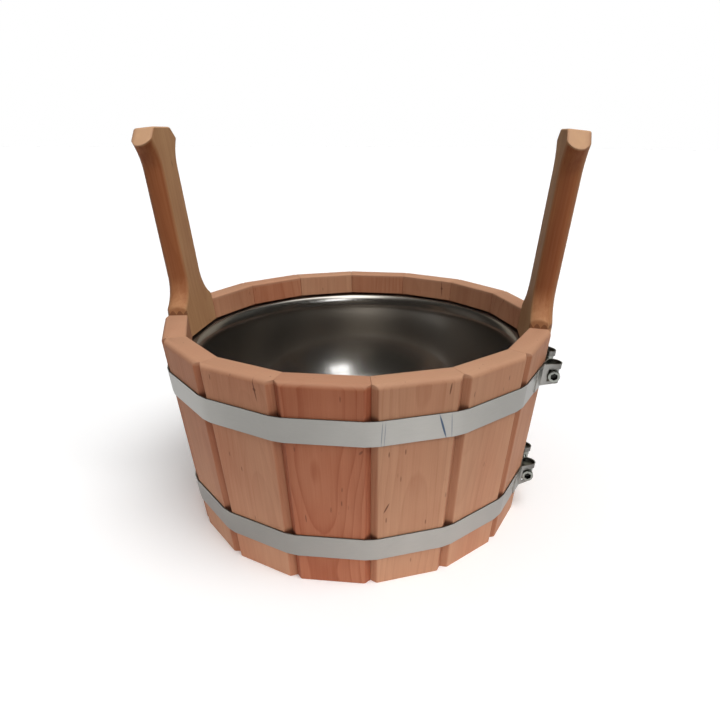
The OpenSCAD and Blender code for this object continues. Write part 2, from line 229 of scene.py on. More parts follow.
class Finishes(bpy.types.PropertyGroup):
    wood_pale: FloatVectorProperty(
        name="Pale Wood", description="Palest colour of the staves' wood",
        default=(0.62, 0.338, 0.200), size=3, min=0.0, max=1.0, subtype="COLOR")
    wood_deep: FloatVectorProperty(
        name="Deep Wood", description="Deepest colour of the staves' wood",
        default=(0.30, 0.09, 0.036), size=3, min=0.0, max=1.0, subtype="COLOR")
    red_wood: FloatVectorProperty(
        name="Red Wood", description="Tint of the staves cut from redder timber",
        default=(1.0, 0.74, 0.66), size=3, min=0.0, max=1.0, subtype="COLOR")
    end_wood: FloatVectorProperty(
        name="End Wood", description="Colour of the sanded ends of the staves",
        default=(0.525, 0.292, 0.179), size=3, min=0.0, max=1.0, subtype="COLOR")
    # Partly the cut wood's own colour and partly painted shade in the grooves and on the handles' sides.
    cut_wood_and_shade: FloatVectorProperty(
        name="Cut Wood And Shade", description="Tint of the wood where a cutter has burnished it",
        default=(0.68, 0.43, 0.32), size=3, min=0.0, max=1.0, subtype="COLOR")
    # Also the colour of the painted shadow at the hoops and in the cutter's bites beside the handles.
    fleck: FloatVectorProperty(
        name="Flecks", description="Colour of the small dark flecks",
        default=(0.11, 0.035, 0.018), size=3, min=0.0, max=1.0, subtype="COLOR")
    liner: FloatVectorProperty(
        name="Liner Steel", description="Colour of the polished liner",
        default=(0.50, 0.475, 0.445), size=3, min=0.0, max=1.0, subtype="COLOR")
    hoop: FloatVectorProperty(
        name="Hoop Steel", description="Colour of the hoops' strip",
        default=(0.42, 0.41, 0.385), size=3, min=0.0, max=1.0, subtype="COLOR")
    pen: FloatVectorProperty(
        name="Pen Marks", description="Colour of the faint setting-out marks on the upper hoop",
        default=(0.02, 0.06, 0.13), size=3, min=0.0, max=1.0, subtype="COLOR")
    clamp: FloatVectorProperty(
        name="Clamp Steel", description="Colour of the screws and barrels",
        default=(0.37, 0.385, 0.35), size=3, min=0.0, max=1.0, subtype="COLOR")


class StageSizes(bpy.types.PropertyGroup):
    lens: FloatProperty(
        name="Lens", description="Focal length of the camera, in millimetres",
        default=29.2, min=10.0, max=200.0, unit="CAMERA")
    key: FloatProperty(
        name="Key Light", description="Strength of the key light",
        default=1.9, min=0.0, max=20.0)
    sky: FloatProperty(
        name="Sky Light", description="Strength of the soft light from overhead",
        default=0.75, min=0.0, max=5.0)
    fill: FloatProperty(
        name="Side Light", description="Strength of the soft light from the sides",
        default=0.09, min=0.0, max=5.0)
    floor_colour: FloatVectorProperty(
        name="Floor", description="Colour of the floor",
        default=(0.90, 0.90, 0.90), size=3, min=0.0, max=1.0, subtype="COLOR")
    far_colour: FloatVectorProperty(
        name="Far Floor", description="Colour that the floor lends to the light from further off",
        default=(0.15, 0.15, 0.15), size=3, min=0.0, max=1.0, subtype="COLOR")
    floor_bounce: FloatProperty(
        name="Floor Bounce", description="Soft light that rises from the floor close to the tub",
        default=0.35, min=0.0, max=2.0)
    floor_lift: FloatProperty(
        name="Floor Lift", description="How much brighter the camera sees the floor, to make it white",
        default=0.06, min=0.0, max=0.5)
    room_colour: FloatVectorProperty(
        name="Room", description="Colour of the room that the steel mirrors",
        default=(0.030, 0.027, 0.023), size=3, min=0.0, max=1.0, subtype="COLOR")


# ---------------------------------------------------------------- shapes

class Wall:
    """Leaning wall of the tub: where its faces, corners and joints are at a given height."""

    def __init__(self, tub):
        self.count = tub.stave_count
        self.half = math.pi / self.count
        self.height = tub.wall_height
        self.rim = tub.rim_across / 2 * math.cos(self.half)
        self.foot = tub.foot_across / 2 * math.cos(self.half)
        self.lean = math.atan((self.rim - self.foot) / self.height)
        corner_lean = math.atan((tub.rim_across - tub.foot_across) / 2 / self.height)
        self.thick = tub.stave_thickness
        self.level_thick = self.thick / math.cos(self.lean)
        edge = tub.groove_width / 2 / math.cos(self.half)
        self.deep = tub.groove_depth / math.cos(corner_lean)
        rise = self.deep - edge * math.sin(self.half) / math.cos(corner_lean)
        self.flank = rise / (tub.groove_width / 2)

    def face(self, z):
        """Distance of a face from the axis, straight from foot to rim."""
        return self.foot + (self.rim - self.foot) * z / self.height

    def groove(self, z):
        """Distance of the groove's bottom from the axis, seen square to a face."""
        return self.face(z) - self.deep * math.cos(self.half)

    def side(self, x, z, gap):
        """Half width of a stave: the joint's plane, or the groove's flank if that is nearer."""
        sin, cos = math.sin(self.half), math.cos(self.half)
        joint = x * math.tan(self.half) - gap / cos
        x = x - gap * sin
        flank = self.face(z) / cos - self.deep + x * (self.flank * sin - cos)
        flank = flank / (sin + self.flank * cos) - gap * cos
        return np.minimum(joint, flank)

    def plan(self, x, z):
        """Place of a point in its stave: depth in from the outer face, and run along it."""
        sin, cos = math.sin(self.lean), math.cos(self.lean)
        return (self.rim - x) * cos + (z - self.height) * sin, (x - self.rim) * sin + (z - self.height) * cos

    def place(self, depth, run):
        """The reverse of plan: distance from the axis, and height."""
        sin, cos = math.sin(self.lean), math.cos(self.lean)
        return self.rim + run * sin - depth * cos, self.height + run * cos + depth * sin


def quarter(t, radius):
    """How far a round of this radius has drawn in at t from its end: a quarter of a circle."""
    t = np.clip(t, 0, radius)
    return radius - np.sqrt(np.maximum(radius ** 2 - (radius - t) ** 2, 0))


def soft_min(a, b, k):
    """The smaller of two lengths, with the crease between them rounded over about k."""
    return np.minimum(a, b) - np.maximum(k - np.abs(a - b), 0) ** 2 / (4 * k)


def crossing(low, high, gap):
    """Where gap changes sign between low and high, found by halving the interval."""
    low, high = np.array(low, float), np.array(high, float)
    for _ in range(44):
        middle = (low + high) / 2
        below = gap(middle) < 0
        low, high = np.where(below, middle, low), np.where(below, high, middle)
    return (low + high) / 2


def corner_curve(start, corner, end, steps):
    """Points from start to end along the quadratic curve that the corner draws towards itself."""
    t = np.linspace(0, 1, steps + 1).reshape(-1, 1)
    points = [np.asarray(p)[:, None, :] for p in (start, corner, end)]
    return points[0] * (1 - t) ** 2 + points[1] * 2 * t * (1 - t) + points[2] * t ** 2


def stave_rings(x, z, y, ease_out, ease_in):
    """Rings of a stave. Rows are levels; columns run in from the outer corner along one side.

    The first two and last two columns are a corner and the end of its rounding. The other
    half of each ring is the first half mirrored, so the ring runs round counter-clockwise.
    """
    side = np.stack([x, y, z], -1)
    support = np.array([0, 1, 0]) * 0.35 * MM
    out_end = side[:, 0] - np.stack([0 * ease_out, ease_out, 0 * ease_out], -1)
    in_end = side[:, -1] - np.stack([0 * ease_in, ease_in, 0 * ease_in], -1)
    half = np.concatenate([
        (out_end - support)[:, None],
        corner_curve(out_end, side[:, 0], side[:, 1], 4),
        side[:, 2:-2],
        corner_curve(side[:, -2], side[:, -1], in_end, 3),
        (in_end - support)[:, None],
    ], axis=1)
    mirrored = half[:, ::-1] * np.array([1, -1, 1])
    return np.concatenate([half, mirrored], axis=1)


def side_cut(columns):
    """Mask of a ring: 1 on the cut side, 0 on the two faces and at the rounded corners' starts."""
    half = np.ones(columns + 11)
    half[:5] = (0, 0, 0.1, 0.4, 0.8)
    half[-5:] = (1, 0.6, 0.3, 0, 0)
    return np.concatenate([half, half[::-1]])


def rows_and_caps(rings):
    """Faces of a lofted solid: quads between rings, and one flat polygon over each end."""
    levels, count = rings.shape[:2]
    row = np.arange(levels - 1)[:, None] * count
    here = np.arange(count)[None, :]
    there = (here + 1) % count
    quads = np.stack([row + here, row + there, row + count + there, row + count + here], -1)
    faces = quads.reshape(-1, 4).tolist()
    faces.append(list(range(count))[::-1])
    faces.append(list(range((levels - 1) * count, levels * count)))
    return faces


def turned(radius, height, segments):
    """Surface of revolution about Z, for a profile that starts and ends on the axis.

    radius is (points,) or (points, segments), so a radius may change with the angle. The
    first and last points are single vertices, and the others are rings. A profile that
    comes down the outside has its faces outwards.
    """
    angle = np.arange(segments) * 2 * math.pi / segments
    radius = np.broadcast_to(radius[:, None] if radius.ndim == 1 else radius, (len(radius), segments))
    rings = np.stack([
        radius * np.cos(angle), radius * np.sin(angle),
        np.broadcast_to(height[:, None], radius.shape)], -1)
    verts = np.concatenate([rings[0, :1], rings[1:-1].reshape(-1, 3), rings[-1, :1]])
    here = np.arange(segments)
    there = (here + 1) % segments
    row = 1 + np.arange(len(radius) - 3)[:, None] * segments
    quads = np.stack([row + here, row + segments + here, row + segments + there, row + there], -1)
    last = len(verts) - 1
    ring = last - segments
    first_fan = np.stack([np.zeros_like(here), 1 + here, 1 + there], -1)
    last_fan = np.stack([np.full_like(here, last), ring + there, ring + here], -1)
    return verts, first_fan.tolist() + quads.reshape(-1, 4).tolist() + last_fan.tolist()


def ring_cutter(inner, outer, low, high, segments, phase):
    """Closed ring of rectangular section: the profile's four corners carried round the axis."""
    angle = np.arange(segments) * 2 * math.pi / segments + phase
    radius = np.array([inner, outer, outer, inner])[None, :]
    height = np.array([low, low, high, high])[None, :]
    verts = np.stack([
        radius * np.cos(angle)[:, None], radius * np.sin(angle)[:, None],
        np.broadcast_to(height, (segments, 4))], -1).reshape(-1, 3)
    here = np.arange(segments)[:, None] * 4
    there = (np.arange(segments)[:, None] + 1) % segments * 4
    a = np.arange(4)[None, :]
    b = (a + 1) % 4
    return verts, np.stack([here + a, there + a, there + b, here + b], -1).reshape(-1, 4).tolist()


# ---------------------------------------------------------------- meshes

def new_piece(name, verts, faces, smooth=30.0):
    """A mesh object in the scene, smooth except at edges sharper than the given angle."""
    mesh = bpy.data.meshes.new(name)
    mesh.from_pydata(np.asarray(verts).tolist(), [], faces)
    mesh.update()
    piece = bpy.data.objects.new(name, mesh)
    bpy.context.scene.collection.objects.link(piece)
    shade(mesh, smooth)
    return piece


def shade(mesh, smooth):
    mesh.polygons.foreach_set("use_smooth", np.ones(len(mesh.polygons), bool))
    mesh.set_sharp_from_angle(angle=math.radians(smooth))


def vertices(mesh):
    points = np.empty(len(mesh.vertices) * 3)
    mesh.vertices.foreach_get("co", points)
    return points.reshape(-1, 3)


def set_attribute(mesh, name, values):
    """Store one float or one vector for each vertex."""
    values = np.asarray(values, float)
    kind = "FLOAT_VECTOR" if values.ndim == 2 else "FLOAT"
    attribute = mesh.attributes.get(name) or mesh.attributes.new(name, kind, "POINT")
    attribute.data.foreach_set("vector" if values.ndim == 2 else "value", values.ravel())


def finish(piece, slot, material, body, *replaced):
    """Give a piece its material, let it ride on its body and stand for its CAD nodes. The slot is not used."""
    piece.data.materials.clear()
    piece.data.materials.append(material)
    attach(piece, body)
    if replaced:
        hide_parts(*replaced)


def apply_modifiers(piece, smooth=30.0):
    """Replace a piece's mesh by what its modifiers make of it."""
    graph = bpy.context.evaluated_depsgraph_get()
    mesh = bpy.data.meshes.new_from_object(piece.evaluated_get(graph), depsgraph=graph)
    piece.modifiers.clear()
    piece.data = mesh
    shade(mesh, smooth)


def cut_away(piece, cutter, smooth=30.0):
    """Subtract a closed mesh from a piece."""
    cut = piece.modifiers.new("Cut", "BOOLEAN")
    cut.operation = "DIFFERENCE"
    cut.solver = "EXACT"
    cut.object = cutter
    apply_modifiers(piece, smooth)


def cad_copy(node, name, ease):
    """Copy of a CAD node as one joined mesh of flat polygons, its edges softened by ease."""
    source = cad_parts[node]
    mesh = bpy.data.meshes.new(name)
    merged = bmesh.new()
    merged.from_mesh(source.data)
    bmesh.ops.remove_doubles(merged, verts=merged.verts, dist=1e-6)
    bmesh.ops.dissolve_limit(
        merged, angle_limit=math.radians(0.5), verts=merged.verts, edges=merged.edges)
    merged.to_mesh(mesh)
    merged.free()
    piece = bpy.data.objects.new(name, mesh)
    bpy.context.scene.collection.objects.link(piece)
    shade(mesh, 25)
    soften(piece, ease)
    return piece


def soften(piece, width, segments=2):
    """Round a piece's sharp edges."""
    bevel = piece.modifiers.new("Softened Edges", "BEVEL")
    bevel.width = width
    bevel.segments = segments
    bevel.limit_method = "ANGLE"
    bevel.angle_limit = math.radians(28)
    bevel.harden_normals = True
    return bevel


def spun(points, turns):
    """Points turned about the tub's axis by an angle."""
    sin, cos = math.sin(turns), math.cos(turns)
    return np.stack([
        points[..., 0] * cos - points[..., 1] * sin,
        points[..., 0] * sin + points[..., 1] * cos,
        points[..., 2]], -1)


# ---------------------------------------------------------------- materials

def node(tree, kind, sockets=None, **settings):
    """Add a node, set it up, and fill its sockets with values or with links."""
    made = tree.nodes.new(kind)
    for key, value in settings.items():
        setattr(made, key, value)
    for key, value in (sockets or {}).items():
        if isinstance(value, bpy.types.NodeSocket):
            tree.links.new(value, made.inputs[key])
        else:
            made.inputs[key].default_value = value
    return made


def maths(tree, operation, *terms, clamp=False):
    return node(
        tree, "ShaderNodeMath", dict(enumerate(terms)), operation=operation, use_clamp=clamp).outputs[0]


def vector(tree, operation, *terms):
    made = node(tree, "ShaderNodeVectorMath", dict(enumerate(terms)), operation=operation)
    return made.outputs["Value" if operation in ("LENGTH", "DOT_PRODUCT") else "Vector"]


def mixed(tree, factor, a, b, blend="MIX"):
    return node(
        tree, "ShaderNodeMix", {0: factor, 6: a, 7: b}, data_type="RGBA", blend_type=blend).outputs[2]


def span(tree, value, low, high, to_low=0.0, to_high=1.0):
    """Map a value from one range to another, eased at both ends."""
    return node(
        tree, "ShaderNodeMapRange",
        {"Value": value, "From Min": low, "From Max": high, "To Min": to_low, "To Max": to_high},
        interpolation_type="SMOOTHSTEP").outputs["Result"]


def noise(tree, place, stretch, detail=2.0, roughness=0.5):
    scaled = vector(tree, "MULTIPLY", place, stretch)
    return node(
        tree, "ShaderNodeTexNoise",
        {"Vector": scaled, "Scale": 1.0, "Detail": detail, "Roughness": roughness}).outputs["Fac"]


def group(name, inputs, outputs):
    """An empty node group with these sockets, and its input and output nodes."""
    tree = bpy.data.node_groups.new(name, "ShaderNodeTree")
    for label, kind in inputs:
        tree.interface.new_socket(label, in_out="INPUT", socket_type=kind)
    for label, kind in outputs:
        tree.interface.new_socket(label, in_out="OUTPUT", socket_type=kind)
    return tree, tree.nodes.new("NodeGroupInput").outputs, tree.nodes.new("NodeGroupOutput").inputs


def wood_grain():
    """Node group for the wood.

    Growth rings are distances from a pith line that wanders along the plank. Fibres, pores
    and streaks are noises drawn out along the grain, and flecks are rare short dashes.
    """
    found = bpy.data.node_groups.get("Wood Grain")
    if found:
        return found
    tree, given, made = group(
        "Wood Grain",
        [("Plank", "NodeSocketVector"), ("Timber", "NodeSocketVector"), ("Cut", "NodeSocketFloat"),
         ("Pale", "NodeSocketColor"), ("Deep", "NodeSocketColor"), ("Red Tint", "NodeSocketColor"),
         ("Cut And Shade Tint", "NodeSocketColor"), ("End", "NodeSocketColor"), ("Fleck", "NodeSocketColor")],
        [("Colour", "NodeSocketColor"), ("Roughness", "NodeSocketFloat"), ("Height", "NodeSocketFloat")])
    plank = given["Plank"]
    timber = node(tree, "ShaderNodeSeparateXYZ", {"Vector": given["Timber"]}).outputs
    tone, red, figure = timber["X"], timber["Y"], timber["Z"]

    wander = noise(tree, plank, (9, 9, 4.2), 2, 0.45)
    ripple = noise(tree, plank, (60, 60, 8), 2, 0.5)
    radius = vector(tree, "LENGTH", vector(tree, "MULTIPLY", plank, (1, 1, 0)))
    phase = maths(tree, "ADD", maths(tree, "MULTIPLY", radius, 330.0),
                  maths(tree, "MULTIPLY", wander, 9.0))
    phase = maths(tree, "ADD", phase, maths(tree, "MULTIPLY", ripple, 0.7))
    ring = maths(tree, "FRACT", phase)
    late = maths(tree, "ADD", maths(tree, "MULTIPLY", ring, 0.35), maths(tree, "POWER", ring, 6.0))
    late = maths(tree, "MULTIPLY", late, span(tree, ring, 0.90, 1.0, 1.0, 0.0))
    late = maths(tree, "MULTIPLY", late, figure)

    streak = noise(tree, plank, (230, 230, 3.5), 3, 0.6)
    fibre = noise(tree, plank, (1500, 1500, 26), 2, 0.6)
    cloud = noise(tree, plank, (22, 22, 7), 3, 0.55)
    blush = noise(tree, vector(tree, "ADD", plank, (7.3, 2.1, 0.4)), (14, 14, 6), 2, 0.5)
    amount = maths(tree, "ADD", 0.38, tone)
    for value, weight in ((late, 0.16), (maths(tree, "SUBTRACT", streak, 0.5), 0.34),
                          (maths(tree, "SUBTRACT", fibre, 0.5), 0.22),
                          (maths(tree, "SUBTRACT", cloud, 0.5), 0.85)):
        amount = maths(tree, "ADD", amount, maths(tree, "MULTIPLY", value, weight))
    routed = maths(tree, "MULTIPLY", maths(tree, "SUBTRACT", streak, 0.5), given["Cut"])
    amount = maths(tree, "ADD", amount, maths(tree, "MULTIPLY", routed, 0.8), clamp=True)
    colour = mixed(tree, amount, given["Pale"], given["Deep"])
    red = maths(tree, "ADD", red, maths(tree, "MULTIPLY", maths(tree, "SUBTRACT", blush, 0.5), 1.3), clamp=True)
    colour = mixed(tree, red, colour, mixed(tree, 1.0, colour, given["Red Tint"], "MULTIPLY"))
    yellow = maths(tree, "MULTIPLY", timber["Y"], -1.0, clamp=True)
    colour = mixed(tree, yellow, colour, mixed(tree, 1.0, colour, (1.0, 1.09, 0.88, 1.0), "MULTIPLY"))
    end = maths(tree, "MULTIPLY", given["Cut"], -1.0, clamp=True)
    colour = mixed(tree, end, colour, mixed(tree, maths(tree, "MULTIPLY", streak, 0.35), given["End"], colour))
    # Painted highlight: where the cut is -1 or less, on the handle's crown and top, the colour is made lighter.
    crown_highlight = maths(tree, "SUBTRACT", maths(tree, "MULTIPLY", given["Cut"], -1.0), 1.0, clamp=True)
    colour = mixed(tree, crown_highlight, colour, mixed(tree, 1.0, colour, (1.20, 1.27, 1.22, 1.0), "MULTIPLY"))
    # The cut sides take the cut tint, partly the wood's own colour where the cutter went and partly painted shade in
    # the grooves and on the handles' sides.
    tinted = mixed(tree, 1.0, colour, given["Cut And Shade Tint"], "MULTIPLY")
    colour = mixed(tree, maths(tree, "ADD", given["Cut"], 0.0, clamp=True), colour, tinted)

    cells = node(
        tree, "ShaderNodeTexVoronoi",
        {"Vector": vector(tree, "MULTIPLY", plank, (420, 420, 95)), "Scale": 1.0, "Randomness": 1.0})
    chance = node(tree, "ShaderNodeSeparateColor", {"Color": cells.outputs["Color"]}).outputs["Red"]
    chance = maths(tree, "ADD", chance, maths(tree, "MULTIPLY", figure, 0.035))
    fleck = maths(tree, "MULTIPLY", span(tree, cells.outputs["Distance"], 0.12, 0.30, 1.0, 0.0),
                  span(tree, chance, 0.985, 1.01))
    pore = noise(tree, plank, (2600, 2600, 160), 1, 0.5)
    pore = span(tree, pore, 0.70, 0.80)
    colour = mixed(tree, maths(tree, "MULTIPLY", fleck, 0.6), colour, given["Fleck"])
    colour = mixed(tree, maths(tree, "MULTIPLY", pore, 0.15), colour, given["Fleck"])

    rough = maths(tree, "ADD", 0.54, maths(tree, "MULTIPLY", fibre, 0.16))
    height = maths(tree, "ADD", maths(tree, "MULTIPLY", fibre, 0.6), maths(tree, "MULTIPLY", late, -0.4))
    height = maths(tree, "ADD", height, maths(tree, "MULTIPLY", pore, -0.7))
    tree.links.new(colour, made["Colour"])
    tree.links.new(rough, made["Roughness"])
    tree.links.new(height, made["Height"])
    return tree


def new_material(name):
    material = bpy.data.materials.new(name)
    material.use_nodes = True
    tree = material.node_tree
    return material, tree, tree.nodes["Principled BSDF"]


def stroke(tree, turn, across, height, wide, long, slant, inside=False):
    """Mask of a short mark on the wall, at a place along a face and a height.

    turn is the way that the face looks, in degrees. The mark is an ellipse with the given half
    width and half length, and slant is how far it moves across for each step up.
    """
    place = node(tree, "ShaderNodeTexCoord").outputs["Object"]
    sin, cos = math.sin(math.radians(turn)), math.cos(math.radians(turn))
    away = vector(tree, "DOT_PRODUCT", place, (cos, sin, 0))
    up = node(tree, "ShaderNodeSeparateXYZ", {"Vector": place}).outputs["Z"]
    up = maths(tree, "SUBTRACT", up, height)
    side = maths(tree, "SUBTRACT", vector(tree, "DOT_PRODUCT", place, (-sin, cos, 0)), across)
    side = maths(tree, "SUBTRACT", side, maths(tree, "MULTIPLY", up, slant))
    side, up = maths(tree, "DIVIDE", side, wide), maths(tree, "DIVIDE", up, long)
    far = maths(tree, "SQRT", maths(tree, "ADD", maths(tree, "MULTIPLY", side, side),
                                maths(tree, "MULTIPLY", up, up)))
    outside = span(tree, away, 0.149, 0.150)
    if inside:
        outside = maths(tree, "SUBTRACT", 1.0, outside)
    return maths(tree, "MULTIPLY", span(tree, far, 0.55, 1.0, 1.0, 0.0), outside)


def marked(tree, colour, mark_colour, marks):
    """A colour with strokes of another laid over it."""
    for strength, *place in marks:
        mask = maths(tree, "MULTIPLY", stroke(tree, *place), strength)
        colour = mixed(tree, mask, colour, (*mark_colour, 1.0))
    return colour


def scallop_shadows(tree, cut):
    """Mask of painted shadow in the shallow bites that the cutter leaves where it meets the rim beside a handle."""
    place = node(tree, "ShaderNodeTexCoord").outputs["Object"]
    axes = node(tree, "ShaderNodeSeparateXYZ", {"Vector": place}).outputs
    across = maths(tree, "MULTIPLY", maths(tree, "ABSOLUTE", axes["X"]), math.pi / 0.0058)
    arch = maths(tree, "MULTIPLY", maths(tree, "ABSOLUTE", maths(tree, "SINE", across)), 0.0034)
    above = maths(tree, "SUBTRACT", maths(tree, "SUBTRACT", axes["Z"], 0.1740), arch)
    bite = span(tree, above, 0.0, 0.0007, 1.0, 0.0)
    bite = maths(tree, "MULTIPLY", bite, span(tree, axes["Z"], 0.1735, 0.1745))
    return maths(tree, "MULTIPLY", bite, span(tree, cut, 0.01, 0.04, 0.0, 0.55))


def wood_material(name, finishes, lift=0.0, marks=(), bite_shadows=False):
    """Oiled alder-like wood that reads the grain attributes of its stave, with painted shadow at the hoops and in the
    cutter's bites, and painted shade in mirrored rays.
    """
    found = bpy.data.materials.get(name)
    if found:
        return found
    material, tree, shader = new_material(name)
    plank = node(tree, "ShaderNodeAttribute", attribute_name="plank").outputs["Vector"]
    timber = node(tree, "ShaderNodeAttribute", attribute_name="timber").outputs["Vector"]
    cut = node(tree, "ShaderNodeAttribute", attribute_name="cut").outputs["Fac"]
    grain = tree.nodes.new("ShaderNodeGroup")
    grain.node_tree = wood_grain()
    tree.links.new(plank, grain.inputs["Plank"])
    tree.links.new(vector(tree, "SUBTRACT", timber, (lift, 0, 0)), grain.inputs["Timber"])
    tree.links.new(cut, grain.inputs["Cut"])
    for label, colour in (("Pale", finishes.wood_pale), ("Deep", finishes.wood_deep),
                          ("Red Tint", finishes.red_wood), ("Cut And Shade Tint", finishes.cut_wood_and_shade),
                          ("End", finishes.end_wood), ("Fleck", finishes.fleck)):
        grain.inputs[label].default_value = (*colour, 1.0)
    bump = node(tree, "ShaderNodeBump",
                {"Height": grain.outputs["Height"], "Strength": 0.35, "Distance": 0.12 * MM})
    colour = marked(tree, grain.outputs["Colour"], finishes.fleck, marks)
    if bite_shadows:
        # Painted shadow in the cutter's bites beside the handle.
        colour = mixed(tree, scallop_shadows(tree, cut), colour, (*finishes.fleck, 1.0))
    if marks:
        up = node(tree, "ShaderNodeSeparateXYZ", {
            "Vector": node(tree, "ShaderNodeTexCoord").outputs["Object"]}).outputs["Z"]
        # Painted shadow: the grooves are darkened from just under each hoop's top edge to a little above it, where the
        # gap behind the strip lies in shade.
        hoop_shadow = 0.0
        for edge in HOOP_EDGES:
            below = span(tree, up, edge - 0.004, edge - 0.002)
            hoop_shadow = maths(tree, "ADD", hoop_shadow, maths(tree, "MULTIPLY", below, span(tree, up, edge, edge + 0.0045, 1.0, 0.0)))
        hoop_shadow = maths(tree, "MULTIPLY", hoop_shadow, span(tree, cut, 0.05, 0.3, 0.0, 0.8))
        colour = mixed(tree, hoop_shadow, colour, (*finishes.fleck, 1.0))
    # Painted shade: in mirrored rays the wood is darkened most of the way to a dim brown.
    mirrored = node(tree, "ShaderNodeLightPath").outputs["Is Glossy Ray"]
    colour = mixed(tree, mirrored, colour, mixed(tree, 0.75, colour, (0.12, 0.10, 0.08, 1.0)))
    tree.links.new(colour, shader.inputs["Base Color"])
    tree.links.new(grain.outputs["Roughness"], shader.inputs["Roughness"])
    tree.links.new(bump.outputs["Normal"], shader.inputs["Normal"])
    shader.inputs["Specular IOR Level"].default_value = 0.25
    return material


def steel_wear_and_shade():
    """Node group for the steels: rubbed streaks along the metal, cloudy dulling and fine marks, and painted shade where
    the shade attribute is set.
    """
    found = bpy.data.node_groups.get("Steel Wear And Shade")
    if found:
        return found
    tree, given, made = group(
        "Steel Wear And Shade",
        [("Place", "NodeSocketVector"), ("Base", "NodeSocketColor"), ("Gloss", "NodeSocketFloat"),
         ("Streaks", "NodeSocketFloat"), ("Clouds", "NodeSocketFloat"), ("Shade", "NodeSocketFloat")],
        [("Colour", "NodeSocketColor"), ("Roughness", "NodeSocketFloat"), ("Height", "NodeSocketFloat")])
    place = given["Place"]
    streak = maths(tree, "SUBTRACT", noise(tree, place, (25, 3000, 3000), 2, 0.6), 0.5)
    cloud = maths(tree, "SUBTRACT", noise(tree, place, (30, 30, 30), 3, 0.55), 0.5)
    cloud = maths(tree, "MULTIPLY", cloud, given["Clouds"])
    light = maths(tree, "ADD", 1.0, maths(tree, "MULTIPLY", cloud, 0.22))
    light = maths(tree, "ADD", light, maths(tree, "MULTIPLY", streak, maths(tree, "MULTIPLY", given["Streaks"], 0.35)))
    # Painted shade: the shade attribute darkens the steel's colour.
    light = maths(tree, "MULTIPLY", light, maths(tree, "SUBTRACT", 1.0, given["Shade"]))
    grey = node(tree, "ShaderNodeCombineColor", {"Red": light, "Green": light, "Blue": light}).outputs["Color"]
    colour = mixed(tree, 1.0, given["Base"], grey, "MULTIPLY")
    rough = maths(tree, "ADD", given["Gloss"], maths(tree, "MULTIPLY", cloud, 0.16))
    rough = maths(tree, "ADD", rough, maths(tree, "MULTIPLY", streak, maths(tree, "MULTIPLY", given["Streaks"], 0.22)),
                  clamp=True)
    tree.links.new(colour, made["Colour"])
    tree.links.new(rough, made["Roughness"])
    tree.links.new(maths(tree, "MULTIPLY", streak, given["Streaks"]), made["Height"])
    return tree


def steel_material(name, colour, gloss, streaks, around=None, mark_colour=(0, 0, 0), marks=(),
                   coat=0.0, clouds=1.0):
    """Steel whose streaks run round the tub at the given radius, or along X without one."""
    found = bpy.data.materials.get(name)
    if found:
        return found
    material, tree, shader = new_material(name)
    place = node(tree, "ShaderNodeTexCoord").outputs["Object"]
    if around:
        axes = node(tree, "ShaderNodeSeparateXYZ", {"Vector": place}).outputs
        turn = maths(tree, "ARCTAN2", maths(tree, "MULTIPLY", axes["Y"], -1.0),
                     maths(tree, "MULTIPLY", axes["X"], -1.0))
        flat = vector(tree, "LENGTH", vector(tree, "MULTIPLY", place, (1, 1, 0)))
        place = node(tree, "ShaderNodeCombineXYZ",
                     {"X": maths(tree, "MULTIPLY", turn, around), "Y": flat, "Z": axes["Z"]}).outputs[0]
    wear_and_shade = tree.nodes.new("ShaderNodeGroup")
    wear_and_shade.node_tree = steel_wear_and_shade()
    tree.links.new(place, wear_and_shade.inputs["Place"])
    wear_and_shade.inputs["Base"].default_value = (*colour, 1.0)
    wear_and_shade.inputs["Gloss"].default_value = gloss
    wear_and_shade.inputs["Streaks"].default_value = streaks
    wear_and_shade.inputs["Clouds"].default_value = clouds
    tree.links.new(node(tree, "ShaderNodeAttribute", attribute_name="shade").outputs["Fac"], wear_and_shade.inputs["Shade"])
    bump = node(tree, "ShaderNodeBump",
                {"Height": wear_and_shade.outputs["Height"], "Strength": 0.25, "Distance": 0.05 * MM})
    tree.links.new(marked(tree, wear_and_shade.outputs["Colour"], mark_colour, marks), shader.inputs["Base Color"])
    tree.links.new(wear_and_shade.outputs["Roughness"], shader.inputs["Roughness"])
    tree.links.new(bump.outputs["Normal"], shader.inputs["Normal"])
    shader.inputs["Metallic"].default_value = 1.0
    shader.inputs["Coat Weight"].default_value = coat
    shader.inputs["Coat Roughness"].default_value = 0.05
    return material


# ---------------------------------------------------------------- pieces

def lay_grain(piece, wall, turns, number, timber):
    """Store where each vertex lies in its plank: off the pith across and in, and along."""
    draw = np.random.default_rng(4100 + number)
    points = spun(vertices(piece.data), -turns)
    depth, run = wall.plan(points[:, 0], points[:, 2])
    pith = draw.uniform((-0.022, 0.018), (0.022, 0.055))
    plank = np.stack([points[:, 1] - pith[0], depth + pith[1], run + 1.3 * number], -1)
    set_attribute(piece.data, "plank", plank)
    set_attribute(piece.data, "timber", np.tile(timber, (len(points), 1)))


def stave_timber(number):
    """How much deeper and redder than the rest a stave's wood is, and how strong its figure."""
    chosen = {8: (0.06, 0.3, 0.6), 9: (0.02, 0.2, 0.6), 10: (0.0, 0.25, 0.6), 11: (0.15, 0.95, 1.7),
              12: (-0.10, 0.10, 1.0), 13: (-0.08, 0.05, 0.5), 14: (0.0, 0.15, 0.6)}
    draw = np.random.default_rng(70 + number).uniform((-0.08, 0.0, 0.4), (0.10, 0.6, 1.3))
    return chosen.get(number, tuple(draw))


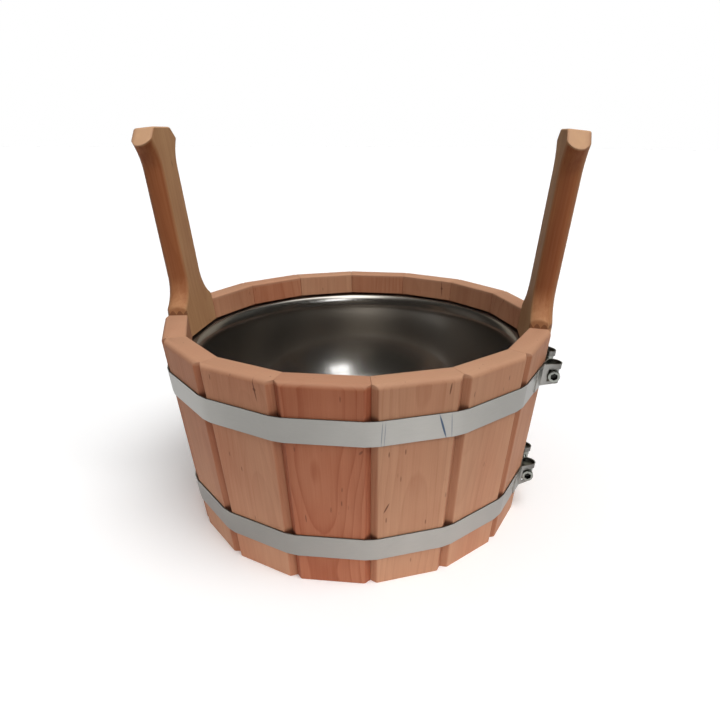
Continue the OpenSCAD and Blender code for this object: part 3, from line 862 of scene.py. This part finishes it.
def stave_cutter(tub, liner, wall):
    """Cutter for the croze and for the liner's seat, both turned inside the wall."""
    croze = (wall.face(tub.croze_height) - wall.level_thick + tub.croze_depth) / math.cos(wall.half)
    seat = (wall.face(liner.seat_height) - wall.level_thick) / math.cos(wall.half) + liner.lip_hold + 1 * MM
    inner = tub.foot_across / 4
    first = ring_cutter(inner, croze, tub.croze_height, tub.croze_height + tub.croze_width,
                        wall.count, wall.half)
    second = ring_cutter(inner, seat, liner.seat_height, liner.seat_height + liner.seat_width,
                         wall.count * 7, 0.31 * wall.half)
    offset = len(first[0])
    faces = first[1] + [[i + offset for i in face] for face in second[1]]
    return new_piece("stave_cutter", np.concatenate([first[0], second[0]]), faces)


def side_columns(deep, total, ease_out, ease_in):
    """Depths of a side's columns: its two corners, their roundings, the groove's bottom, the rest."""
    first = ease_out[:, None] + (deep - ease_out)[:, None] * np.array([0.5, 1.0])
    rest = deep[:, None] + (total - ease_in - deep)[:, None] * np.array([0.03, 0.2, 0.4, 0.6, 0.8])
    return np.concatenate([
        0 * ease_out[:, None], ease_out[:, None], first, rest,
        (total - ease_in)[:, None], total[:, None]], axis=1)


def plain_stave_rings(tub, wall):
    """Level rings of a plain stave, drawn in along quarter circles at the rim and at the foot."""
    top = wall.height
    out_z = top - tub.rim_round
    out_x = wall.face(out_z) - tub.rim_round / math.cos(wall.lean)
    in_z = top - tub.rim_ease
    in_x = wall.face(in_z) - wall.level_thick + tub.rim_ease / math.cos(wall.lean)
    foot_ease = 0.5 * MM
    z = np.unique(np.round(np.concatenate([
        foot_ease * (1 - np.cos(np.linspace(0, math.pi / 2, 4))),
        np.linspace(0.001, out_z - 0.001, 12),
        [out_z - 0.5 * MM],
        out_z + tub.rim_round * np.sin(np.linspace(-wall.lean, math.pi / 2, 10)),
        in_z + tub.rim_ease * np.sin(np.linspace(wall.lean, math.pi / 2, 6)),
    ]), 9))
    arc_out = out_x + np.sqrt(np.maximum(tub.rim_round ** 2 - (z - out_z) ** 2, 0))
    arc_in = in_x - np.sqrt(np.maximum(tub.rim_ease ** 2 - (z - in_z) ** 2, 0))
    x_out = np.where(z > out_z - tub.rim_round * math.sin(wall.lean), arc_out, wall.face(z))
    x_in = np.where(z > in_z + tub.rim_ease * math.sin(wall.lean), arc_in, wall.face(z) - wall.level_thick)
    foot = quarter(z, foot_ease)
    x_out, x_in = x_out - foot - 0.01 * MM, x_in + foot
    gap = tub.joint_gap / 2 + quarter(top - z, 0.35 * MM) + foot
    deep = x_out - wall.groove(z) - gap * math.sin(wall.half)
    ease_out = np.minimum(tub.edge_ease, 0.6 * deep)
    ease_in = np.full_like(z, 0.5 * MM)
    depth = side_columns(deep, x_out - x_in, ease_out, ease_in)
    x = x_out[:, None] - depth
    level = np.broadcast_to(z[:, None], x.shape)
    y = wall.side(x, level, gap[:, None])
    rise = 1.2 * np.clip((z - out_z) / tub.rim_round, 0, 1)[:, None]
    # The groove's flanks take 0.47 of the cut tint, partly as painted shade; the rim's top is marked negative for the
    # end wood.
    cut = side_cut(depth.shape[1] - 4)[None, :] * 0.47 * (1 - np.clip(rise, 0, 1)) - 0.8 * np.clip(rise, 0, 1)
    return stave_rings(x, level, y, ease_out, ease_in), cut.ravel()


def handle_stave_rings(tub, handle, wall):
    """Rings of a handle stave: level up the wall, then square to the stave up the handle.

    Above the rim the side is what the cutters leave. Each cutter is a circle whose radius
    falls by the swell, an arc over the thickness. Levels start and end on the creases
    between cuts, which are found for every column by halving.
    """
    top, thick = handle.height, wall.thick
    swell_radius = (thick ** 2 / 4 + handle.grip_swell ** 2) / (2 * handle.grip_swell)
    root_run = handle.root_lift + handle.root_radius
    flare_run = top - handle.crown_height - handle.flare_length
    grip = handle.grip_width / 2
    crown_edge = grip + handle.flare_radius - math.sqrt(handle.flare_radius ** 2 - handle.flare_length ** 2)
    slope = (crown_edge - handle.crown_width / 2) / handle.crown_height

    def swell(depth):
        across = np.clip(depth - thick / 2, -thick / 2, thick / 2)
        return np.sqrt(swell_radius ** 2 - across ** 2) - swell_radius + handle.grip_swell

    def cut(depth, run, radius, centre, extra=0.0):
        left = np.maximum((radius - swell(depth) * (1 + extra)) ** 2 - (run - centre) ** 2, 0)
        return grip + radius - np.sqrt(left)

    def root(depth, run):
        return cut(depth, np.minimum(run, root_run), handle.root_radius, root_run)

    def flare(depth, run):
        grown = np.clip((run - flare_run) / handle.flare_length, 0, 1) ** 2 * (3 - 2 * np.clip(
            (run - flare_run) / handle.flare_length, 0, 1))
        return cut(depth, np.maximum(run, flare_run), handle.flare_radius, flare_run,
                   grown * handle.crown_swell / handle.grip_swell)

    def crown(run):
        return handle.crown_width / 2 + slope * (top - run)

    def wall_side(depth, run, gap=0.0):
        return wall.side(*wall.place(depth, run), gap)

    def half_width(depth, run, gap):
        routed = np.where(run < (root_run + flare_run) / 2, root(depth, run), flare(depth, run))
        width = soft_min(wall_side(depth, run, gap), routed, 2.0 * MM)
        return soft_min(width, crown(run), 0.7 * MM)

    foot_ease, top_ease = 0.5 * MM, 1.4 * MM
    low = np.unique(np.round(np.concatenate([
        foot_ease * (1 - np.cos(np.linspace(0, math.pi / 2, 4))),
        np.linspace(0.001, wall.height - 0.012, 12)]), 9))
    foot = quarter(low, foot_ease)
    steps = [(0, f) for f in (0.4, 0.7, 0.86, 0.94, 0.98, 1.0)]
    steps += [(1, 1 - math.cos(t * math.pi / 2)) for t in np.linspace(0, 1, 24)[1:]]
    steps += [(2, f) for f in (0.02, 0.25, 0.5, 0.75, 0.98, 1.0)]
    steps += [(3, f) for f in np.linspace(0, 1, 16)[1:]]
    steps += [(4, f) for f in (0.06, 0.12, 0.2, 0.3, 0.5, 0.75, 0.97, 1.0)]
    section = np.array([s[0] for s in steps])
    along = np.array([s[1] for s in steps])[:, None]

    grown = np.clip((section + along[:, 0]), 0, 1)
    ease_out = tub.edge_ease + (handle.outer_round - tub.edge_ease) * grown
    ease_in = 0.5 * MM + (handle.inner_round - 0.5 * MM) * grown
    deep = np.maximum(wall.deep * math.cos(wall.half) * math.cos(wall.lean), ease_out + 0.4 * MM)
    depth = side_columns(deep, np.full(len(steps), thick), ease_out, ease_in)

    shoulder = crossing(
        np.full(depth.shape, handle.root_lift), np.full(depth.shape, root_run),
        lambda run: wall_side(depth, run) - root(depth, run))
    crease = crossing(
        np.full(depth.shape, flare_run), np.full(depth.shape, top),
        lambda run: flare(depth, run) - crown(run))
    start = wall.plan(wall.face(low[-1]), low[-1])[1] + 0.001
    ends = np.stack([
        np.full(depth.shape, start), shoulder, np.full(depth.shape, root_run),
        np.full(depth.shape, flare_run), crease, np.full(depth.shape, top - top_ease)])
    run = np.take_along_axis(ends, section[None, :, None] + 0 * depth[None].astype(int), 0)[0]
    to = np.take_along_axis(ends, section[None, :, None] + 1 + 0 * depth[None].astype(int), 0)[0]
    run = run + (to - run) * along
    x, z = wall.place(depth, run)
    y = half_width(depth, run, tub.joint_gap / 2)
    upper = stave_rings(x, z, y, ease_out, ease_in)

    lift = top_ease * np.sin(np.linspace(0, math.pi / 2, 6))[1:]
    inset = top_ease - np.sqrt(np.maximum(top_ease ** 2 - lift ** 2, 0))
    eased_out = np.maximum(handle.outer_round - 0.6 * inset, 0.4 * MM)
    eased_in = np.maximum(handle.inner_round - 0.6 * inset, 0.4 * MM)
    depth = side_columns(deep[-1] - inset, thick - 2 * inset, eased_out, eased_in)
    run = np.broadcast_to((top - top_ease + lift)[:, None], depth.shape)
    x, z = wall.place(depth + inset[:, None], run)
    y = half_width(depth + inset[:, None], run, 0.0) - inset[:, None]
    cap = stave_rings(x, z, y, eased_out, eased_in)

    x_out = wall.face(low) - foot
    gap = tub.joint_gap / 2 + foot
    deep = x_out - wall.groove(low) - gap * math.sin(wall.half)
    ease_out = np.minimum(tub.edge_ease, 0.6 * deep)
    ease_in = np.full_like(low, 0.5 * MM)
    depth = side_columns(deep, wall.level_thick - 2 * foot, ease_out, ease_in)
    x = x_out[:, None] - depth
    level = np.broadcast_to(low[:, None], x.shape)
    lower = stave_rings(x, level, wall.side(x, level, gap[:, None]), ease_out, ease_in)
    # The grip's sides take the cut tint, partly as painted shade; -2 marks the crown and the top for a painted
    # highlight.
    grip_cut = np.interp(section + along[:, 0], (0, 1, 1.25, 2, 3, 3.98, 4.02, 5), (0.20, 0.45, 0.62, 1, 1, 1, -2, -2))
    amount = np.concatenate([np.full(len(low), 0.35), grip_cut, np.full(len(lift), -2.0)])[:, None]
    mask = side_cut(depth.shape[1] - 4)[None, :]
    ends = np.concatenate([np.zeros(len(low) + len(steps)), np.ones(len(lift))])[:, None]
    cut = np.where(amount > 0, amount * mask, amount * np.maximum(mask, ends))
    return np.concatenate([lower, upper, cap]), cut.ravel()


def build_stave(name, shape, wall, slot, number, timber, cutter, finishes, material_slot):
    """One stave, turned to its slot of the circle, with its croze and seat cut out."""
    rings, cut = shape
    turns = 2 * wall.half * slot
    piece = new_piece(name, spun(rings, turns).reshape(-1, 3), rows_and_caps(rings))
    set_attribute(piece.data, "cut", cut)
    cut_away(piece, cutter)
    lay_grain(piece, wall, turns, number, timber)
    tall = material_slot == "handle_wood"
    material = wood_material("Handle Wood" if tall else "Stave Wood", finishes, marks=WOOD_MARKS, bite_shadows=tall)
    finish(piece, material_slot, material, TUB_BODY, name[7:])
    return piece


class TUB_OT_plain_staves(bpy.types.Operator):
    """Add the fourteen plain staves"""
    bl_idname = "tub.plain_staves"
    bl_label = "Plain Staves"

    def execute(self, context):
        tub, finishes = context.scene.tub_sizes, context.scene.tub_finishes
        wall = Wall(tub)
        cutter = stave_cutter(tub, context.scene.tub_liner, wall)
        shape = plain_stave_rings(tub, wall)
        for number in range(1, wall.count - 1):
            slot = number if number < wall.count // 2 else number + 1
            build_stave(f"visual_stave_{number:02d}", shape, wall, slot, number, stave_timber(number),
                        cutter, finishes, "wall_wood")
        bpy.data.objects.remove(cutter)
        return {"FINISHED"}


class TUB_OT_handle_staves(bpy.types.Operator):
    """Add the two staves that rise as handles"""
    bl_idname = "tub.handle_staves"
    bl_label = "Handle Staves"

    def execute(self, context):
        tub, finishes = context.scene.tub_sizes, context.scene.tub_finishes
        wall = Wall(tub)
        cutter = stave_cutter(tub, context.scene.tub_liner, wall)
        shape = handle_stave_rings(tub, context.scene.tub_handle, wall)
        for number, (side, slot) in enumerate((("right", 0), ("left", wall.count // 2))):
            build_stave(f"visual_handle_stave_{side}", shape, wall, slot, 20 + number, (0.02, -0.8, 0.6),
                        cutter, finishes, "handle_wood")
        bpy.data.objects.remove(cutter)
        return {"FINISHED"}


class TUB_OT_base_boards(bpy.types.Operator):
    """Add the tongue and groove boards of the bottom"""
    bl_idname = "tub.base_boards"
    bl_label = "Bottom Boards"

    def execute(self, context):
        finishes = context.scene.tub_finishes
        for number in range(1, BOARD_COUNT + 1):
            name = f"base_board_{number}"
            piece = cad_copy(name, f"visual_{name}", 0.4 * MM)
            points = vertices(piece.data)
            pith = np.random.default_rng(300 + number).uniform((-0.02, 0.02), (0.02, 0.05))
            middle = (points[:, 0].min() + points[:, 0].max()) / 2
            plank = np.stack([points[:, 0] - middle - pith[0], points[:, 2] + pith[1],
                              points[:, 1] + 40 + 1.7 * number], -1)
            set_attribute(piece.data, "plank", plank)
            set_attribute(piece.data, "timber", np.tile((-0.12 + 0.04 * number, 0.1, 0.8), (len(points), 1)))
            set_attribute(piece.data, "cut", np.zeros(len(points)))
            finish(piece, "base_wood", wood_material("Board Wood", finishes, 0.10), TUB_BODY, name)
        return {"FINISHED"}


class TUB_OT_liner(bpy.types.Operator):
    """Add the spun steel liner"""
    bl_idname = "tub.liner"
    bl_label = "Steel Liner"

    def execute(self, context):
        tub, liner = context.scene.tub_sizes, context.scene.tub_liner
        wall = Wall(tub)
        half = liner.sheet / 2
        seat = wall.face(liner.seat_height) - wall.level_thick
        flange = seat / math.cos(wall.half) + liner.lip_hold
        lip_r = seat - liner.lip_gap
        lip_wide = liner.lip_width - half - liner.lip_gap
        join = liner.seat_height + half - liner.lip_height
        floor = tub.croze_height + tub.croze_width + liner.floor_gap + half
        bowl_wide = lip_r - lip_wide - liner.floor_radius

        def ellipse(centre_r, centre_z, wide, high, turn, off):
            """Arc of an ellipse with these half widths, moved square to itself by off."""
            cos, sin = np.cos(turn), np.sin(turn)
            size = np.hypot(cos / wide, sin / high)
            return (centre_r + wide * cos + off * cos / wide / size,
                    centre_z + high * sin + off * sin / high / size)

        def skin(side):
            """Centre line of the sheet, moved square to itself by side times half the sheet."""
            off = side * half
            round_r, round_z = ellipse(
                lip_r, join, lip_wide, liner.lip_height, np.radians(np.linspace(90, 180, 25)), -off)
            bowl_r, bowl_z = ellipse(
                liner.floor_radius, join, bowl_wide, join - floor, np.radians(np.linspace(0, -90, 49)[1:]), off)
            flat_r = np.array([0.66, 0.33, 0.0]) * liner.floor_radius
            rim_z = liner.seat_height + half - off
            return (np.concatenate([[flange - 0.1 * MM, (flange + lip_r) / 2], round_r, bowl_r, flat_r]),
                    np.concatenate([[rim_z, rim_z], round_z, bowl_z, floor - off + 0 * flat_r]))

        inner, outer = skin(-1), skin(1)
        edge_r, edge_z = [flange, flange], [liner.seat_height + 0.3 * MM, liner.seat_height + 0.7 * MM]
        radius = np.concatenate([inner[0][::-1], edge_r, outer[0]])
        height = np.concatenate([inner[1][::-1], edge_z[::-1], outer[1]])
        piece = new_piece("visual_liner", *turned(radius, height, 256), smooth=60)
        material = steel_material("Liner Steel", context.scene.tub_finishes.liner, 0.25, 0.03, 0.14,
                                  coat=0.8, clouds=0.12)
        finish(piece, "liner_steel", material, TUB_BODY, "liner")
        return {"FINISHED"}


class TUB_OT_hoops(bpy.types.Operator):
    """Add the two hoops with their folded ends"""
    bl_idname = "tub.hoops"
    bl_label = "Hoops"

    def execute(self, context):
        finishes = context.scene.tub_finishes
        wall = Wall(context.scene.tub_sizes)
        material = steel_material("Hoop Steel", finishes.hoop, 0.33, 0.5, 0.16, finishes.pen, PEN_MARKS)
        for level in CLAMPS:
            piece = cad_copy(f"{level}_hoop", f"visual_{level}_hoop", 0.18 * MM)
            points = vertices(piece.data)
            stand = points[:, 0] - wall.face(points[:, 2])
            # Painted shade: the folded ends by the clamps are darkened through the shade attribute.
            folded = (np.abs(points[:, 1]) < 0.06) * np.clip((stand - 0.9 * MM) / (0.6 * MM), 0, 1)
            set_attribute(piece.data, "shade", 0.45 * folded)
            finish(piece, "hoop_steel", material, TUB_BODY, f"{level}_hoop")
        return {"FINISHED"}


class TUB_OT_clamp_barrels(bpy.types.Operator):
    """Add the round cross pins of both clamps"""
    bl_idname = "tub.clamp_barrels"
    bl_label = "Clamp Barrels"

    def execute(self, context):
        material = steel_material("Clamp Steel", context.scene.tub_finishes.clamp, 0.30, 0.4)
        for level in CLAMPS:
            for kind in ("plain", "threaded"):
                name = f"{level}_{kind}_barrel"
                finish(cad_copy(name, f"visual_{name}", 0.15 * MM), "clamp_steel", material, TUB_BODY, name)
        return {"FINISHED"}


class TUB_OT_clamp_screws(bpy.types.Operator):
    """Add the socket head screws, with ridged heads and cut threads"""
    bl_idname = "tub.clamp_screws"
    bl_label = "Clamp Screws"

    def execute(self, context):
        sizes = context.scene.tub_clamp
        material = steel_material("Screw Steel", context.scene.tub_finishes.clamp, 0.26, 0.3)
        segments = sizes.ridges * 4
        angle = np.arange(segments) * 2 * math.pi / segments
        flat = (angle + math.pi / 6) % (math.pi / 3) - math.pi / 6
        hexagon = sizes.socket_width / 2 / np.cos(flat)
        ridge = 0.5 + 0.5 * np.cos(angle * sizes.ridges)
        head = sizes.head_diameter / 2
        for level in CLAMPS:
            low, high = (np.array(corner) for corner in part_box(f"{level}_clamp_screw"))
            length = high[1] - low[1]
            run = np.arange(sizes.head_height + 0.5 * MM, length - 0.9 * MM, sizes.pitch / 7)
            turn = run[:, None] / sizes.pitch - angle[None, :] / (2 * math.pi)
            tooth = np.abs((turn % 1.0) * 2 - 1)
            fade = np.clip((run - sizes.head_height - 1.0 * MM) / (2 * MM), 0, 1)[:, None]
            thread = sizes.crest_radius - sizes.thread_depth * np.clip(tooth * 1.25 - 0.1, 0, 1) * fade
            ones = np.ones((1, segments))
            radii = [0 * ones, hexagon[None] * 0.5, hexagon[None], hexagon[None],
                     hexagon[None] + 0.25 * MM,
                     ones * (head - 0.75 * MM), ones * (head - 0.25 * MM),
                     ones * head - 0.05 * MM - 0.17 * MM * (1 - ridge)[None],
                     ones * head - 0.17 * MM * (1 - ridge)[None],
                     ones * head - 0.17 * MM * (1 - ridge)[None],
                     ones * (head - 0.3 * MM), ones * (sizes.crest_radius + 0.35 * MM),
                     ones * sizes.crest_radius]
            heights = [sizes.socket_depth + 0.5 * MM, sizes.socket_depth, sizes.socket_depth, 0.25 * MM,
                       0.0, 0.0, 0.18 * MM, 0.6 * MM, 0.8 * MM, sizes.head_height - 0.35 * MM,
                       sizes.head_height, sizes.head_height, sizes.head_height + 0.3 * MM]
            radii += [thread, ones * (sizes.crest_radius - 0.8 * MM), ones * 0.9 * MM, 0 * ones]
            heights = np.concatenate([heights, run, [length - 0.05 * MM, length, length]])
            verts, faces = turned(np.concatenate(radii), -heights, segments)
            axis = ((low[0] + high[0]) / 2, (low[2] + high[2]) / 2)
            placed = np.stack([verts[:, 0] + axis[0], low[1] - verts[:, 2], verts[:, 1] + axis[1]], -1)
            piece = new_piece(f"visual_{level}_clamp_screw", placed, faces, smooth=35)
            # Painted shade: the rings of the hex socket are darkened through the shade attribute.
            socket_shade = np.concatenate([[0.93], np.repeat([0.93, 0.93, 0.93, 0.3], segments)])
            set_attribute(piece.data, "shade", np.pad(socket_shade, (0, len(verts) - len(socket_shade))))
            finish(piece, "clamp_steel", material, f"{level}_screw", f"{level}_clamp_screw")
        return {"FINISHED"}


# ---------------------------------------------------------------- stage

def room_material(stage):
    """Dim room with two bright windows, which only mirrored rays see."""
    material, tree, shader = new_material("Room")
    tree.nodes.remove(shader)
    place = node(tree, "ShaderNodeTexCoord").outputs["Object"]
    ray = vector(tree, "NORMALIZE", place)
    axes = node(tree, "ShaderNodeSeparateXYZ", {"Vector": ray}).outputs
    turn = maths(tree, "ARCTAN2", axes["X"], maths(tree, "MULTIPLY", axes["Y"], -1.0))
    back = maths(tree, "ARCTAN2", axes["X"], axes["Y"])
    rise = maths(tree, "ARCSINE", axes["Z"])

    def bars(value, middle):
        off = maths(tree, "ABSOLUTE", maths(tree, "SUBTRACT", value, math.radians(middle)))
        return span(tree, off, math.radians(0.6), math.radians(1.4))

    def pane(turn_low, turn_high, rise_low, rise_high, soft, turn=turn):
        sides = []
        for value, low, high in ((turn, turn_low, turn_high), (rise, rise_low, rise_high)):
            low, high = math.radians(low), math.radians(high)
            soft_angle = math.radians(soft)
            sides.append(span(tree, value, low, low + soft_angle))
            sides.append(span(tree, value, high - soft_angle, high, 1.0, 0.0))
        return maths(tree, "MULTIPLY", maths(tree, "MULTIPLY", sides[0], sides[1]),
                     maths(tree, "MULTIPLY", sides[2], sides[3]))

    colour = (*stage.room_colour, 1.0)
    bar = maths(tree, "MULTIPLY", bars(turn, 33.0), bars(rise, 50.0))
    strip = maths(tree, "ABSOLUTE", maths(tree, "SUBTRACT", axes["X"], 0.06))
    strip = span(tree, strip, 0.09, 0.25, 1.0, 0.0)
    for where, mask, tint in (
            ((-12, 40, 10, 50, 18), 1.0, (0.14, 0.122, 0.10)), ((20, 42, 41, 57, 1.0), bar, (4.8, 4.95, 5.1)),
            ((-200, 200, 50, 110, 24), 1.0, (0.12, 0.112, 0.10)), ((-120, -70, 5, 50, 15), 1.0, (0.10, 0.09, 0.08)),
            ((100, 150, 20, 60, 15), 1.0, (0.08, 0.08, 0.075)), ((-42, 42, -4, 48, 14, back), 1.0, (0.29, 0.262, 0.218)),
            ((-200, 200, 56, 110, 14), strip, (3.0, 2.95, 2.8))):
        glow = maths(tree, "MULTIPLY", pane(*where), mask)
        colour = mixed(tree, glow, colour, (*tint, 1.0))
    light = node(tree, "ShaderNodeEmission", {"Color": colour, "Strength": 1.0})
    tree.links.new(light.outputs[0], tree.nodes["Material Output"].inputs["Surface"])
    return material


class TUB_OT_stage(bpy.types.Operator):
    """Add the floor, the lights, the mirrored room and the camera"""
    bl_idname = "tub.stage"
    bl_label = "Stage"

    def execute(self, context):
        scene = context.scene
        stage = scene.tub_stage
        reach = np.array([0.0, 0.5, 1.0, 2.0, 4.0, 8.0, 16.0, 16.0, 0.0])
        depth = np.array([0.0, 0.0, 0.0, 0.0, 0.0, 0.0, 0.0, -0.1, -0.1])
        floor = new_piece("stage_floor", *turned(reach, depth, 96))
        material, tree, shader = new_material("Floor")
        path = node(tree, "ShaderNodeLightPath").outputs
        place = node(tree, "ShaderNodeTexCoord").outputs["Object"]
        away = vector(tree, "LENGTH", place)
        sheet = mixed(tree, span(tree, away, 0.25, 0.7), (*stage.floor_colour, 1.0), (*stage.far_colour, 1.0))
        axes = node(tree, "ShaderNodeSeparateXYZ", {"Vector": place}).outputs
        turn = maths(tree, "ARCTAN2", axes["X"], maths(tree, "MULTIPLY", axes["Y"], -1.0))
        patch = 0.79
        for times, shift, share in ((1.0, 0.9, 0.12), (3.0, 1.75, 0.14)):
            wave = maths(tree, "COSINE", maths(tree, "SUBTRACT", maths(tree, "MULTIPLY", turn, times), shift))
            patch = maths(tree, "ADD", patch, maths(tree, "MULTIPLY", wave, share))
        grey = node(tree, "ShaderNodeCombineColor", {"Red": patch, "Green": patch, "Blue": patch}).outputs[0]
        colour = mixed(tree, path["Is Glossy Ray"], sheet, grey)
        colour = mixed(tree, path["Is Camera Ray"], colour, (1.0, 1.0, 1.0, 1.0))
        tree.links.new(colour, shader.inputs["Base Color"])
        shader.inputs["Emission Color"].default_value = (1.0, 1.0, 1.0, 1.0)
        near = maths(tree, "MULTIPLY", path["Is Diffuse Ray"], span(tree, away, 0.20, 0.40, stage.floor_bounce, 0.0))
        lift = maths(tree, "MULTIPLY", path["Is Camera Ray"], stage.floor_lift)
        tree.links.new(maths(tree, "ADD", near, lift), shader.inputs["Emission Strength"])
        shader.inputs["Roughness"].default_value = 1.0
        shader.inputs["Specular IOR Level"].default_value = 0.0
        floor.data.materials.append(material)

        polar = np.radians(np.array([90.0, 75, 60, 45, 30, 20, 12, 6, 2]))
        radius = np.concatenate([5 * np.cos(polar), [5.05, 4.9, 0.0]])
        height = np.concatenate([5 * np.sin(polar), [0.1, 0.05, 0.05]])
        radius[0] = 0.0
        verts, faces = turned(radius[:-2], height[:-2], 64)
        room = new_piece("stage_room", verts, [f for f in faces if max(f) < len(verts) - 1])
        room.data.materials.append(room_material(stage))
        room.visible_camera = False
        room.visible_diffuse = False
        room.visible_shadow = False
        room.visible_transmission = False

        world = bpy.data.worlds.new("Studio")
        scene.world = world
        world.use_nodes = True
        tree = world.node_tree
        path = node(tree, "ShaderNodeLightPath").outputs
        seen = maths(tree, "ADD", path["Is Camera Ray"], path["Is Glossy Ray"])
        seen = maths(tree, "ADD", seen, path["Is Transmission Ray"], clamp=True)
        ray = node(tree, "ShaderNodeSeparateXYZ", {
            "Vector": node(tree, "ShaderNodeTexCoord").outputs["Object"]}).outputs
        soft = span(tree, ray["Z"], 0.0, 0.9, stage.fill, stage.sky)
        soft = maths(tree, "MULTIPLY", soft, span(tree, ray["Y"], -0.5, 0.7, 1.0, 0.5))
        strength = maths(tree, "MAXIMUM", seen, soft)
        background = tree.nodes["Background"]
        background.inputs["Color"].default_value = (1.0, 1.0, 1.0, 1.0)
        tree.links.new(strength, background.inputs["Strength"])

        key = bpy.data.lights.new("Key", "SUN")
        key.energy = stage.key
        key.angle = math.radians(40)
        lamp = bpy.data.objects.new("Key", key)
        lamp.rotation_euler = Vector((-0.38, 0.30, -1.0)).to_track_quat("-Z", "Y").to_euler()
        lamp.visible_glossy = False
        scene.collection.objects.link(lamp)

        camera = bpy.data.cameras.new("Camera")
        camera.lens = stage.lens
        camera.sensor_width = 36.0
        camera.clip_start = 0.01
        view = bpy.data.objects.new("Camera", camera)
        camera.shift_x, camera.shift_y = -0.034, 0.0103
        ahead = Vector((-0.09467, 0.92361, -0.37147)).normalized()
        right = Vector((0.99453, 0.10427, 0.0058))
        right = (right - ahead * right.dot(ahead)).normalized()
        up = right.cross(ahead)
        turned_view = Matrix((right, up, -ahead)).transposed().to_4x4()
        view.matrix_world = Matrix.Translation((0.07545, -0.50256, 0.32301)) @ turned_view
        scene.collection.objects.link(view)
        scene.camera = view

        scene.view_settings.view_transform = "Standard"
        return {"FINISHED"}


# ---------------------------------------------------------------- panel and registration

class TUB_PT_sidebar(bpy.types.Panel):
    """Lists the sizes and the pieces of the tub"""
    bl_idname = "TUB_PT_sidebar"
    bl_label = "Coopered Tub"
    bl_space_type = "VIEW_3D"
    bl_region_type = "UI"
    bl_category = "Tub"

    def draw(self, context):
        scene = context.scene
        for label, settings in (("Tub", scene.tub_sizes), ("Handles", scene.tub_handle),
                                ("Liner", scene.tub_liner), ("Clamps", scene.tub_clamp),
                                ("Finishes", scene.tub_finishes), ("Stage", scene.tub_stage)):
            box = self.layout.box()
            box.label(text=label)
            for key in settings.__annotations__:
                box.prop(settings, key)
        for operator in OPERATORS:
            self.layout.operator(operator.bl_idname)


SETTINGS = {
    "tub_sizes": TubSizes, "tub_handle": HandleSizes, "tub_liner": LinerSizes,
    "tub_clamp": ClampSizes, "tub_finishes": Finishes, "tub_stage": StageSizes,
}
OPERATORS = (
    TUB_OT_plain_staves, TUB_OT_handle_staves, TUB_OT_base_boards, TUB_OT_liner,
    TUB_OT_hoops, TUB_OT_clamp_barrels, TUB_OT_clamp_screws, TUB_OT_stage,
)


def register():
    for cls in (*SETTINGS.values(), *OPERATORS, TUB_PT_sidebar):
        bpy.utils.register_class(cls)
    for key, cls in SETTINGS.items():
        setattr(bpy.types.Scene, key, PointerProperty(type=cls))


def unregister():
    for key in SETTINGS:
        delattr(bpy.types.Scene, key)
    for cls in reversed((*SETTINGS.values(), *OPERATORS, TUB_PT_sidebar)):
        bpy.utils.unregister_class(cls)


def main():
    register()
    for operator in OPERATORS:
        group_name, call = operator.bl_idname.split(".")
        getattr(getattr(bpy.ops, group_name), call)()


if __name__ == "__main__":
    main()
